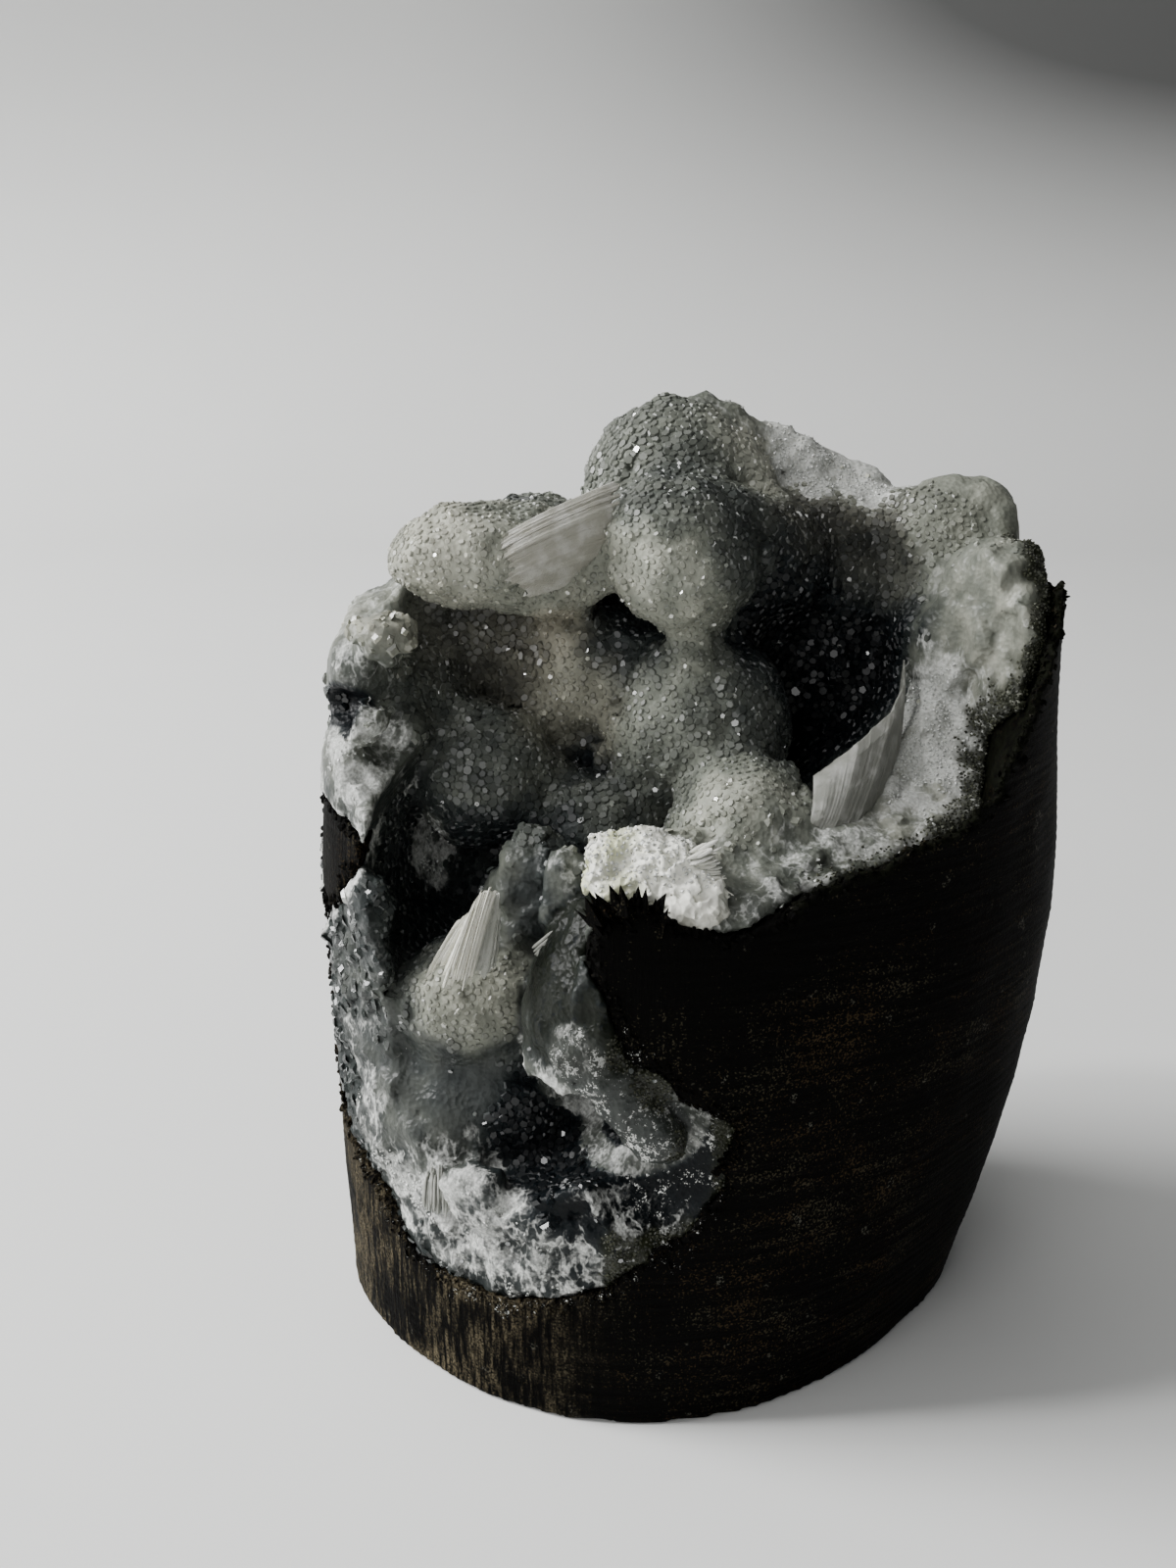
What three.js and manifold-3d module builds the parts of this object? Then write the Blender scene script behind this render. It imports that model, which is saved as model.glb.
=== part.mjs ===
// Chalcedony with stilbite on basalt: a trunk of black basalt with a flat cut base, its upper half
// broken open on a pocket that is lined with drusy chalcedony balls, and stilbite crystals on them.
// Millimetres, +Z up. The origin is the middle of the cut base, and the open side faces -Y.
import * as THREE from "three";
import { mergeVertices } from "three/addons/utils/BufferGeometryUtils.js";
import Module from "manifold-3d";

const wasm = await Module();
wasm.setup();

// ---- Driving dimensions ---------------------------------------------------------------------

// Gap between neighbouring pieces.
const GAP = 0.3;

// A height well above the whole specimen.
const OPEN_SKY = 160;

// Basalt trunk: radius every 30 degrees, anticlockwise from -X, at three heights.
const BASE_RADII = [48, 44, 40.5, 36.5, 33.5, 34, 39, 39, 38.5, 37, 41, 48];
const BODY_RADII = [49.7, 44.7, 41, 38.5, 37.6, 42.6, 49.8, 47, 41, 39, 42, 48];
const TOP_RADII = [46, 44.3, 41, 38.4, 38.4, 45, 46.6, 47, 41, 39, 41, 46.5];
const BODY_HEIGHT = 62;
const TOP_HEIGHT = 105;

// Broken back crest of the basalt: height over x.
const CREST = [
  [-52, 84], [-46, 96], [-38, 101], [-20, 101], [-12, 108], [-4, 113],
  [6, 115], [16, 112], [24, 109], [34, 106], [44, 104], [50, 96], [54, 88],
];

// Broken face of the chalcedony rim: gentle over the front lip, then steep up the right side.
const LIP = { y: -36, z: 70, slope: 0.4 };
const SHOULDER = { startY: -12, endY: 14, rise: 20 };

// Pocket in the basalt, as ellipsoids: centre and half axes.
const POCKET = [
  { at: [-2, -10, 103.5], half: [45.5, 43, 40] },
  { at: [24, -12, 84], half: [13.5, 18, 14] },
  { at: [31, -2, 102], half: [13.6, 15, 13] },
  { at: [-26, -8, 98], half: [30, 34, 25] },
  { at: [-31, -20, 66], half: [26, 30, 28] },
  { at: [-23, -26, 43.5], half: [31, 21, 29] },
  { at: [-40, -14, 42], half: [12, 17, 19] },
];

// Tongue of basalt that stands between the lower pocket and the front lip, and the notch over it.
const TONGUE = [
  { at: [-7.5, -36, 66.5], half: [6.5, 8, 6.5] },
  { at: [-2, -35, 60], half: [9.5, 10, 10] },
  { at: [6, -34, 54], half: [13, 10, 10] },
];
const NOTCH = { at: [3, -37, 75], half: [9, 8, 6.3] };

// Wedge of basalt that shows through the left rim: its corner in x and z, how steeply its top edge
// rises and its side edge leans towards -X, and where it ends.
const WINDOW = { x: -41.2, z: 71.8, rise: 0.55, lean: 0.52, backY: -2 };

// Open space inside the chalcedony crust, as ellipsoids.
const HOLLOW = [
  { at: [-3, -2, 100], half: [36, 30, 32] },
  { at: [-26, -19, 68], half: [16, 25, 20] },
  { at: [-24, -29, 46], half: [17, 16, 15] },
  { at: [-5, -41, 38], half: [10, 8, 12] },
];

// Botryoidal balls of the lining: centre and half axes.
const BALLS = [
  { at: [-1.4, 21, 109.3], half: [13.5, 13.5, 13.5] },
  { at: [2.5, 25, 117.8], half: [5.5, 5, 5.5] },
  { at: [13, 27, 111.4], half: [10, 6, 6.2] },
  { at: [8, 27, 114.3], half: [5, 4, 4.2] },
  { at: [26, 27, 108.5], half: [8, 6, 5.5] },
  { at: [-2.5, 2, 104.4], half: [10.6, 10.6, 10.6] },
  { at: [-28, 1, 105.3], half: [11.5, 10, 6.4] },
  { at: [-20.5, 12, 104], half: [7.5, 7.5, 7.5] },
  { at: [-27, 15, 93], half: [16, 10, 12] },
  { at: [-13.7, 8, 89], half: [9.5, 9.5, 9.5] },
  { at: [0, 19, 92], half: [17, 13, 19] },
  { at: [0.7, 1, 82.5], half: [12.5, 12.5, 12.5] },
  { at: [20, 24, 99], half: [13.5, 13.5, 13] },
  { at: [23.4, 23, 83], half: [13.5, 13.5, 13.5] },
  { at: [-26.9, 2, 75], half: [10.5, 10.5, 10] },
  { at: [-12, -3, 67], half: [10, 10, 10] },
  { at: [-38, 6, 86], half: [8, 8, 8] },
  { at: [-43, -2, 91], half: [5, 7, 6] },
  { at: [-44, -7, 79], half: [5, 7, 6] },
  { at: [6.3, -15.5, 73], half: [10, 9, 9] },
  { at: [-27.5, -17, 50.8], half: [11, 9.5, 8.7] },
  { at: [-27, -14.5, 35], half: [15, 12, 13] },
  { at: [37.5, 16, 103.5], half: [10, 9.5, 10] },
  { at: [36, 6, 91.5], half: [8.5, 8.5, 9] },
  { at: [40.5, -4, 95], half: [5, 10, 8] },
];

// Thin flap of crust over the lower pocket, and the lobe that hangs beside it.
const FLAP = { at: [-8, -27, 52], half: [13, 11.5, 18], wall: 2, bottom: 47.6, right: -8 };
const LOBE = { from: [-14.5, -33.5, 54], to: [-6.5, -35, 42], radius: 4.2 };

// Stilbite: fans of flat blades from a foot to a tip, and the way the blades face. The widths are
// of the middle blade: at its foot, where it is widest, and at its tip.
const SHEAF_FRONT = {
  foot: [-34.3, -28.5, 49.5], tip: [-24.6, -28.5, 71], facing: [0, -1, 0.2],
  widths: [3.4, 6.4, 1.3], widest: 0.42, thickness: 3.2, blades: 3, spread: 11,
};
const BLADE_TOP = {
  foot: [-22, -8, 98.5], tip: [-11.5, 0.5, 113.5], facing: [-0.35, -0.85, 0.3],
  widths: [5, 7.5, 1.4], widest: 0.4, thickness: 2.4, blades: 3, spread: 7,
};
const BLADE_RIGHT = {
  foot: [15.5, -19.5, 69], tip: [27, -10, 85], facing: [0.45, -0.75, 0.35],
  widths: [6, 8, 5], widest: 0.6, thickness: 3, blades: 3, spread: 16,
};
const FAN_LOWER = {
  foot: [-34.5, -27.5, 24], tip: [-31.5, -31, 36.5], facing: [-0.3, -0.9, 0.25],
  widths: [1.8, 4.4, 2.4], widest: 0.75, thickness: 2.4, blades: 5, spread: 34,
};
const LATH = {
  foot: [-20.5, -17, 60.5], tip: [-16.3, -26.5, 66.5], facing: [0.1, -0.5, 0.8],
  widths: [1.6, 2.2, 1], widest: 0.7, thickness: 1.2, blades: 1, spread: 0,
};

// Cream stilbite mass on the front lip: lumps, and short blades that radiate from them.
const LIP_MASS = {
  lumps: [
    { at: [-10.5, -28.5, 74], half: [5, 5, 4.8] },
    { at: [-4.5, -29.5, 73.8], half: [5.5, 5.5, 5] },
    { at: [1, -31.5, 71], half: [4.6, 4.6, 4.4] },
  ],
  foot: [-3.5, -27.5, 72], reach: 11.5, widths: [1.4, 2.8, 0.9], widest: 0.7, thickness: 2.4,
  blades: 5, fromDeg: -10, toDeg: 140, lean: 14,
};

// Lone quartz point in the lower hollow.
const QUARTZ = { at: [-15, -28.5, 31], across: 1.8, prism: 2.6, height: 5, lean: 14 };

// Mesh fineness.
const TRUNK_SEGMENTS = 36;
const WALL_RINGS = 8;
const CAP_RINGS = 3;
const POCKET_SEGMENTS = 14;
const BALL_SEGMENTS = 9;
const LUMP_SEGMENTS = 7;

// ---- Small helpers --------------------------------------------------------------------------

const vector = (p) => new THREE.Vector3(p[0], p[1], p[2]);

function smoothStep(from, to, x) {
  return THREE.MathUtils.smoothstep(x, from, to);
}

function lineThrough(points, x) {
  const last = points.length - 1;
  if (x <= points[0][0]) return points[0][1];
  for (let i = 0; i < last; i += 1) {
    const [x0, z0] = points[i];
    const [x1, z1] = points[i + 1];
    if (x <= x1) return z0 + ((z1 - z0) * (x - x0)) / (x1 - x0);
  }
  return points[last][1];
}

// Smooth closed outline through radii that stand at equal angles.
function radiusAround(radii, angle) {
  const count = radii.length;
  const turn = ((angle + Math.PI) / (2 * Math.PI)) * count;
  const i = Math.floor(turn);
  const f = turn - i;
  const [a, b, c, d] = [-1, 0, 1, 2].map((k) => radii[(i + k + count) % count]);
  const bend = (2 * a - 5 * b + 4 * c - d) * f * f + (3 * b - a - 3 * c + d) * f * f * f;
  return 0.5 * (2 * b + (c - a) * f + bend);
}

function trunkRadius(angle, z) {
  const base = radiusAround(BASE_RADII, angle);
  const body = radiusAround(BODY_RADII, angle);
  const top = radiusAround(TOP_RADII, angle);
  const swell = Math.sin((Math.PI / 2) * Math.min(z / BODY_HEIGHT, 1));
  return base + (body - base) * swell + (top - body) * smoothStep(BODY_HEIGHT, TOP_HEIGHT, z);
}

function rimHeight(y) {
  const { startY, endY, rise } = SHOULDER;
  return LIP.z + LIP.slope * (y - LIP.y) + rise * smoothStep(startY, endY, y);
}

// ---- Solids: closed geometries turned into manifolds, and back ------------------------------

function solid(geometry) {
  const bare = geometry.clone();
  bare.deleteAttribute("normal");
  bare.deleteAttribute("uv");
  const merged = mergeVertices(bare, 1e-4);
  return new wasm.Manifold(new wasm.Mesh({
    numProp: 3,
    vertProperties: new Float32Array(merged.attributes.position.array),
    triVerts: new Uint32Array(merged.index.array),
  }));
}

function joined(solids) {
  return solids.reduce((whole, part) => whole.add(part));
}

// The largest connected body: chips that a cut has split off fall away.
function mainBody(whole) {
  const bodies = whole.decompose();
  return bodies.reduce((best, body) => (body.volume() > best.volume() ? body : best));
}

function ellipsoid({ at, half }, grow, segments) {
  const geometry = new THREE.SphereGeometry(1, segments, Math.round(segments * 0.62));
  geometry.rotateX(Math.PI / 2);
  geometry.scale(half[0] + grow, half[1] + grow, half[2] + grow);
  geometry.translate(at[0], at[1], at[2]);
  return solid(geometry);
}

function ellipsoids(list, grow, segments) {
  return joined(list.map((item) => ellipsoid(item, grow, segments)));
}

// ---- Basalt trunk ---------------------------------------------------------------------------

// A lathed drum, then each of its points is moved out to the trunk's outline and to the top.
function drum(grow, topAt) {
  const profile = [];
  for (let i = 0; i < CAP_RINGS; i += 1) profile.push(new THREE.Vector2(i / CAP_RINGS, 0));
  for (let i = 0; i <= WALL_RINGS; i += 1) profile.push(new THREE.Vector2(1, i / WALL_RINGS));
  for (let i = CAP_RINGS - 1; i >= 0; i -= 1) profile.push(new THREE.Vector2(i / CAP_RINGS, 1));
  const geometry = new THREE.LatheGeometry(profile, TRUNK_SEGMENTS);
  geometry.rotateX(Math.PI / 2);
  const points = geometry.attributes.position;
  for (let i = 0; i < points.count; i += 1) {
    const share = Math.hypot(points.getX(i), points.getY(i));
    const level = points.getZ(i);
    const angle = Math.atan2(points.getY(i), points.getX(i));
    const wide = trunkRadius(angle, level * TOP_HEIGHT) * share * Math.cos(angle);
    const z = level * topAt(wide);
    const radius = share * (trunkRadius(angle, z) + grow);
    const lift = (2 * level - 1) * grow;
    points.setXYZ(i, radius * Math.cos(angle), radius * Math.sin(angle), z + lift);
  }
  return solid(geometry);
}

function trunk(grow) {
  return drum(grow, (x) => lineThrough(CREST, x));
}

function windowWedge(grow) {
  const { rise, lean, backY } = WINDOW;
  const [reach, depth] = [20, 60];
  const x = WINDOW.x + 1.4 * grow;
  const z = WINDOW.z + 0.4 * grow;
  const outline = new THREE.Shape();
  outline.moveTo(x, z);
  outline.lineTo(x - reach, z + rise * reach);
  outline.lineTo(x - reach, z - reach / lean);
  const geometry = new THREE.ExtrudeGeometry(outline, { depth, bevelEnabled: false });
  geometry.rotateX(Math.PI / 2);
  geometry.translate(0, backY + grow, 0);
  return solid(geometry);
}

// The pocket, with the tongue and the wedge left standing in it.
function pocket(grow) {
  return ellipsoids(POCKET, grow, POCKET_SEGMENTS)
    .subtract(ellipsoids(TONGUE, -grow, LUMP_SEGMENTS))
    .subtract(windowWedge(-grow))
    .add(ellipsoid(NOTCH, grow, BALL_SEGMENTS));
}

function basaltMatrix() {
  return mainBody(trunk(0).subtract(pocket(0)));
}

// ---- Chalcedony lining ----------------------------------------------------------------------

// Everything above the broken rim, as a prism along X.
function aboveRim() {
  const [front, back, reach] = [-60, 60, 70];
  const outline = new THREE.Shape();
  outline.moveTo(front, OPEN_SKY);
  for (let y = front; y <= back; y += 6) outline.lineTo(y, rimHeight(y));
  outline.lineTo(back, OPEN_SKY);
  const geometry = new THREE.ExtrudeGeometry(outline, { depth: 2 * reach, bevelEnabled: false });
  geometry.rotateX(Math.PI / 2);
  geometry.rotateZ(Math.PI / 2);
  geometry.translate(-reach, 0, 0);
  return solid(geometry);
}

function box(low, high) {
  const size = [0, 1, 2].map((k) => high[k] - low[k]);
  const geometry = new THREE.BoxGeometry(size[0], size[1], size[2]);
  geometry.translate(low[0] + size[0] / 2, low[1] + size[1] / 2, low[2] + size[2] / 2);
  return solid(geometry);
}

function flap() {
  const shell = ellipsoid(FLAP, 0, BALL_SEGMENTS).subtract(ellipsoid(FLAP, -FLAP.wall, BALL_SEGMENTS));
  return shell.intersect(box([-60, -60, FLAP.bottom], [FLAP.right, 0, 90]));
}

function lobe() {
  const from = vector(LOBE.from);
  const to = vector(LOBE.to);
  const geometry = new THREE.CapsuleGeometry(LOBE.radius, from.distanceTo(to), 3, 9);
  const along = to.clone().sub(from).normalize();
  geometry.applyQuaternion(new THREE.Quaternion().setFromUnitVectors(new THREE.Vector3(0, 1, 0), along));
  const middle = from.add(to).multiplyScalar(0.5);
  geometry.translate(middle.x, middle.y, middle.z);
  return solid(geometry);
}

function chalcedonyLining(seats) {
  const crust = pocket(-GAP)
    .intersect(trunk(2 * GAP))
    .subtract(ellipsoids(HOLLOW, 0, POCKET_SEGMENTS))
    .subtract(aboveRim());
  const balls = ellipsoids(BALLS, 0, BALL_SEGMENTS).intersect(drum(2 * GAP, () => OPEN_SKY));
  const grown = joined([crust, balls, flap(), lobe()]);
  const basalt = trunk(GAP).subtract(pocket(-GAP));
  return mainBody(grown.subtract(basalt).subtract(seats));
}

// ---- Stilbite and quartz --------------------------------------------------------------------

// One flat blade from the origin up +Y.
function blade(length, { widths, widest, thickness }, scale, grow) {
  const [foot, middle, tip] = widths.map((width) => (width * scale) / 2 + grow);
  const outline = new THREE.Shape();
  outline.moveTo(-foot, -grow);
  outline.lineTo(foot, -grow);
  outline.lineTo(middle, widest * length);
  outline.lineTo(tip, length + grow);
  outline.lineTo(-tip, length + grow);
  outline.lineTo(-middle, widest * length);
  const depth = thickness * scale + 2 * grow;
  const geometry = new THREE.ExtrudeGeometry(outline, { depth, bevelEnabled: false });
  geometry.translate(0, 0, -depth / 2);
  return geometry;
}

// Blades side by side that share a foot, fanned in their own plane.
function fan(spec, grow) {
  const foot = vector(spec.foot);
  const along = vector(spec.tip).sub(foot);
  const length = along.length();
  along.normalize();
  const across = new THREE.Vector3().crossVectors(along, vector(spec.facing)).normalize();
  const out = new THREE.Vector3().crossVectors(across, along);
  const frame = new THREE.Matrix4().makeBasis(across, along, out).setPosition(foot);
  const middle = (spec.blades - 1) / 2;
  const solids = [];
  for (let i = 0; i < spec.blades; i += 1) {
    const side = middle > 0 ? (i - middle) / middle : 0;
    const scale = 1 - 0.3 * Math.abs(side) - 0.12 * (i % 2);
    const geometry = blade(length * (1 - 0.2 * Math.abs(side)), spec, scale, grow);
    geometry.rotateZ(THREE.MathUtils.degToRad(-side * spec.spread));
    geometry.applyMatrix4(frame);
    solids.push(solid(geometry));
  }
  return joined(solids);
}

function lipMass(grow) {
  const { foot, reach, blades, fromDeg, toDeg, lean } = LIP_MASS;
  const solids = [ellipsoids(LIP_MASS.lumps, grow, LUMP_SEGMENTS)];
  for (let i = 0; i < blades; i += 1) {
    const turn = fromDeg + ((toDeg - fromDeg) * i) / (blades - 1);
    const geometry = blade(reach * (1 - 0.14 * (i % 3)), LIP_MASS, 1, grow);
    geometry.rotateX(THREE.MathUtils.degToRad(90 - lean));
    geometry.rotateY(THREE.MathUtils.degToRad(90 - turn));
    geometry.translate(foot[0], foot[1], foot[2]);
    solids.push(solid(geometry));
  }
  return joined(solids);
}

function quartzPoint(grow) {
  const radius = QUARTZ.across / 2 + grow;
  const profile = [
    new THREE.Vector2(0, -grow),
    new THREE.Vector2(radius, -grow),
    new THREE.Vector2(radius, QUARTZ.prism),
    new THREE.Vector2(0, QUARTZ.height + grow),
  ];
  const geometry = new THREE.LatheGeometry(profile, 6);
  geometry.rotateX(Math.PI / 2);
  geometry.rotateY(THREE.MathUtils.degToRad(QUARTZ.lean));
  geometry.translate(QUARTZ.at[0], QUARTZ.at[1], QUARTZ.at[2]);
  return solid(geometry);
}

// ---- The specimen ---------------------------------------------------------------------------

const CRYSTALS = {
  stilbite_sheaf_front: { make: (grow) => fan(SHEAF_FRONT, grow), color: 0xe6dfc8 },
  stilbite_blade_top: { make: (grow) => fan(BLADE_TOP, grow), color: 0xcbbfae },
  stilbite_blade_right: { make: (grow) => fan(BLADE_RIGHT, grow), color: 0xc4c3b6 },
  stilbite_fan_lower: { make: (grow) => fan(FAN_LOWER, grow), color: 0xdcdcd6 },
  stilbite_mass_lip: { make: lipMass, color: 0xdad9c6 },
  stilbite_lath: { make: (grow) => fan(LATH, grow), color: 0xd2d3cf },
  quartz_point: { make: quartzPoint, color: 0xaeb6b6 },
};

function piece(name, body, color, roughness) {
  const { vertProperties, triVerts } = body.getMesh();
  const geometry = new THREE.BufferGeometry();
  geometry.setAttribute("position", new THREE.BufferAttribute(vertProperties, 3));
  geometry.setIndex(new THREE.BufferAttribute(triVerts, 1));
  geometry.computeVertexNormals();
  const mesh = new THREE.Mesh(
    geometry,
    new THREE.MeshStandardMaterial({ color, roughness, metalness: 0, flatShading: true }),
  );
  mesh.name = name;
  return mesh;
}

function specimen() {
  const group = new THREE.Group();
  const basalt = basaltMatrix();
  const seats = joined(Object.values(CRYSTALS).map(({ make }) => make(GAP)));
  group.add(piece("basalt_matrix", basalt, 0x1d1815, 0.85));
  group.add(piece("chalcedony_lining", chalcedonyLining(seats), 0x8f938a, 0.3));
  const around = trunk(GAP).subtract(pocket(-GAP));
  for (const [name, { make, color }] of Object.entries(CRYSTALS)) {
    group.add(piece(name, mainBody(make(0).subtract(around)), color, 0.4));
  }
  return group;
}

export default specimen();
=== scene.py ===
"""Chalcedony with stilbite on a basalt matrix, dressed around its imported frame.

The specimen is described once, as distance fields in metres: a sawn basalt trunk, the pocket that is
broken into it, and the chalcedony crust and balls that line the pocket. Meshes are drawn round those
fields. Geometry Nodes then grow the druse, the white spray and the green grains over them, and the
stilbite and the quartz point are built blade by blade.
"""

from __future__ import annotations

import logging
import math
from dataclasses import dataclass, field

import bpy
import numpy as np
import openvdb
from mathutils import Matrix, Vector

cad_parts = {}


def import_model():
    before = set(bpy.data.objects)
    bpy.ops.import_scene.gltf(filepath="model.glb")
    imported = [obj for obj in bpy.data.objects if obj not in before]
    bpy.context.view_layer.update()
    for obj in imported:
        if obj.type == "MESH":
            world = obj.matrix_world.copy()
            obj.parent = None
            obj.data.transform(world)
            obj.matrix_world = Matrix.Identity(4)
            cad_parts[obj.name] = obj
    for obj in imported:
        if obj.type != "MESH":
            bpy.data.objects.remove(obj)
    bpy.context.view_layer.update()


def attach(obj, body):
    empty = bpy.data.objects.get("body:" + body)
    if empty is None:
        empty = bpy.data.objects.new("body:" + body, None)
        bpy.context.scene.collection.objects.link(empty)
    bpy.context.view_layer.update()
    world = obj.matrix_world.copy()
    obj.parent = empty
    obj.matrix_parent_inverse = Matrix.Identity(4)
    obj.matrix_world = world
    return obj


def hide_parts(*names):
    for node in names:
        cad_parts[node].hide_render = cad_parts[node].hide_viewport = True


LOG = logging.getLogger("specimen")
MM = 0.001
Triple = tuple[float, float, float]


def mm(*values: float) -> tuple[float, ...]:
    """Turns millimetres into metres."""
    return tuple(value * MM for value in values)


def smooth_step(low: float, high: float, value: np.ndarray) -> np.ndarray:
    """Rises smoothly from 0 at low to 1 at high."""
    share = np.clip((value - low) / (high - low), 0.0, 1.0)
    return share * share * (3.0 - 2.0 * share)


def smooth_min(a: np.ndarray, b: np.ndarray, blend: float) -> np.ndarray:
    """Unites two distances, with a fillet of the blend's size."""
    share = np.clip(0.5 + 0.5 * (b - a) / blend, 0.0, 1.0)
    return b + (a - b) * share - blend * share * (1.0 - share)


def smooth_max(a: np.ndarray, b: np.ndarray, blend: float) -> np.ndarray:
    """Intersects two distances, with a rounded edge of the blend's size."""
    return -smooth_min(-a, -b, blend)


# ---- Samples and noise ------------------------------------------------------------------------


@dataclass
class Samples:
    """Places where a field is worked out: three arrays that broadcast together."""

    x: np.ndarray
    y: np.ndarray
    z: np.ndarray

    def window(self, at: Triple, reach: Triple) -> tuple[tuple, "Samples"]:
        """Finds the samples inside a box.

        Args:
            at: The middle of the box.
            reach: How far the box goes each way along X, Y and Z.

        Returns:
            The index of those samples, and the samples themselves.
        """
        axes = (self.x, self.y, self.z)
        if self.x.ndim == 1:
            inside = np.ones(len(self.x), bool)
            for values, middle, far in zip(axes, at, reach):
                inside &= np.abs(values - middle) < far
            return (inside,), Samples(*(values[inside] for values in axes))
        cuts = []
        for values, middle, far in zip(axes, at, reach):
            hits = np.nonzero(np.abs(values.ravel() - middle) < far)[0]
            cuts.append(slice(hits[0], hits[-1] + 1) if len(hits) else slice(0, 0))
        part = Samples(self.x[cuts[0]], self.y[:, cuts[1]], self.z[:, :, cuts[2]])
        return tuple(cuts), part


class Noise:
    """Smooth value noise on a seeded lattice."""

    SIDE = 32

    def __init__(self, seed: int) -> None:
        """Fills the lattice.

        Args:
            seed: The number that fixes the lattice.
        """
        shape = (self.SIDE,) * 3
        self.lattice = np.random.default_rng(seed).uniform(-1.0, 1.0, shape).astype(np.float32)

    def at(self, p: Samples, size: float | Triple) -> np.ndarray:
        """Gives noise between -1 and 1.

        Args:
            p: Flat samples.
            size: The lattice's step, one for each axis where it differs.

        Returns:
            One value for each sample.
        """
        steps = size if isinstance(size, tuple) else (size, size, size)
        cells, shares = [], []
        for values, step in zip((p.x, p.y, p.z), steps):
            scaled = values / step + 7.3
            whole = np.floor(scaled)
            share = scaled - whole
            cells.append(whole.astype(np.int64))
            shares.append(share * share * (3.0 - 2.0 * share))
        total = np.zeros(len(p.x), np.float32)
        for corner in range(8):
            bits = (corner & 1, corner >> 1 & 1, corner >> 2)
            weight = np.ones(len(p.x), np.float32)
            index = []
            for bit, cell, share in zip(bits, cells, shares):
                weight = weight * (share if bit else 1.0 - share)
                index.append((cell + bit) % self.SIDE)
            total += weight * self.lattice[tuple(index)]
        return total


class Facets:
    """Flat facets at odd angles, one for each cell of a seeded pattern, as on broken stone."""

    SIDE = 24

    def __init__(self, seed: int) -> None:
        """Places the cells.

        Args:
            seed: The number that fixes the cells.
        """
        rng = np.random.default_rng(seed)
        self.middles = rng.uniform(0.0, 1.0, (self.SIDE,) * 3 + (3,)).astype(np.float32)
        self.slopes = rng.uniform(-1.0, 1.0, (self.SIDE,) * 3 + (4,)).astype(np.float32)

    def at(self, p: Samples, size: float) -> np.ndarray:
        """Gives the facets' height, mostly between -1 and 1.

        Args:
            p: Flat samples.
            size: The size of a cell.

        Returns:
            One value for each sample.
        """
        place = np.stack((p.x, p.y, p.z), axis=1) / size + 5.7
        cell = np.floor(place).astype(np.int64)
        nearest = np.full(len(place), 9.0, np.float32)
        height = np.zeros(len(place), np.float32)
        for corner in range(27):
            at = cell + np.array((corner % 3, corner // 3 % 3, corner // 9)) - 1
            index = tuple((at % self.SIDE).T)
            gap = (place - at - self.middles[index]).astype(np.float32)
            distance = np.einsum("ij,ij->i", gap, gap)
            slope = self.slopes[index]
            found = np.einsum("ij,ij->i", gap, slope[:, :3]) + 0.5 * slope[:, 3]
            closer = distance < nearest
            nearest = np.where(closer, distance, nearest)
            height = np.where(closer, found, height)
        return height


@dataclass
class Grid:
    """A regular grid of samples, and the meshing of a field on it."""

    low: Triple
    high: Triple
    step: Triple

    def __post_init__(self) -> None:
        """Lays out the axes."""
        axes = [
            np.arange(a, b + step, step, dtype=np.float32)
            for a, b, step in zip(self.low, self.high, self.step)
        ]
        self.samples = Samples(axes[0][:, None, None], axes[1][None, :, None], axes[2][None, None, :])
        self.axes = axes

    def near(self, distance: np.ndarray, reach: float) -> tuple[tuple, Samples]:
        """Finds the samples close to a surface.

        Args:
            distance: A field on the whole grid.
            reach: How far from the surface a sample may be.

        Returns:
            The index of those samples, and the samples themselves.
        """
        index = np.nonzero(np.abs(distance) < reach)
        return index, Samples(*(axis[i] for axis, i in zip(self.axes, index)))

    def read(self, values: np.ndarray, points: np.ndarray) -> np.ndarray:
        """Reads a field between the samples.

        Args:
            values: A field on the whole grid.
            points: The places to read it at, one row each.

        Returns:
            One value for each place.
        """
        scaled = (points - np.array(self.low)) / self.step
        scaled = np.clip(scaled, 0.0, np.array(values.shape) - 1.001)
        cell = scaled.astype(np.int64)
        share = scaled - cell
        total = np.zeros(len(points))
        for corner in range(8):
            bits = np.array([corner & 1, corner >> 1 & 1, corner >> 2])
            weight = np.prod(np.where(bits == 1, share, 1.0 - share), axis=1)
            total += weight * values[tuple((cell + bits).T)]
        return total

    def surface(self, distance: np.ndarray, adaptivity: float = 0.0) -> "Skin":
        """Draws a closed mesh round the inside of a field.

        Args:
            distance: A field on the whole grid, negative inside.
            adaptivity: How freely flat stretches are drawn with fewer faces.

        Returns:
            The skin, facing out.
        """
        volume = openvdb.FloatGrid(3.0)
        volume.copyFromArray(np.clip(distance / max(self.step), -3.0, 3.0).astype(np.float32))
        points, triangles, quads = volume.convertToPolygons(0.0, adaptivity)
        vertices = points.astype(np.float64) * np.array(self.step) + np.array(self.low)
        return Skin(vertices, triangles.astype(np.int64), quads.astype(np.int64)).facing_out()


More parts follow.
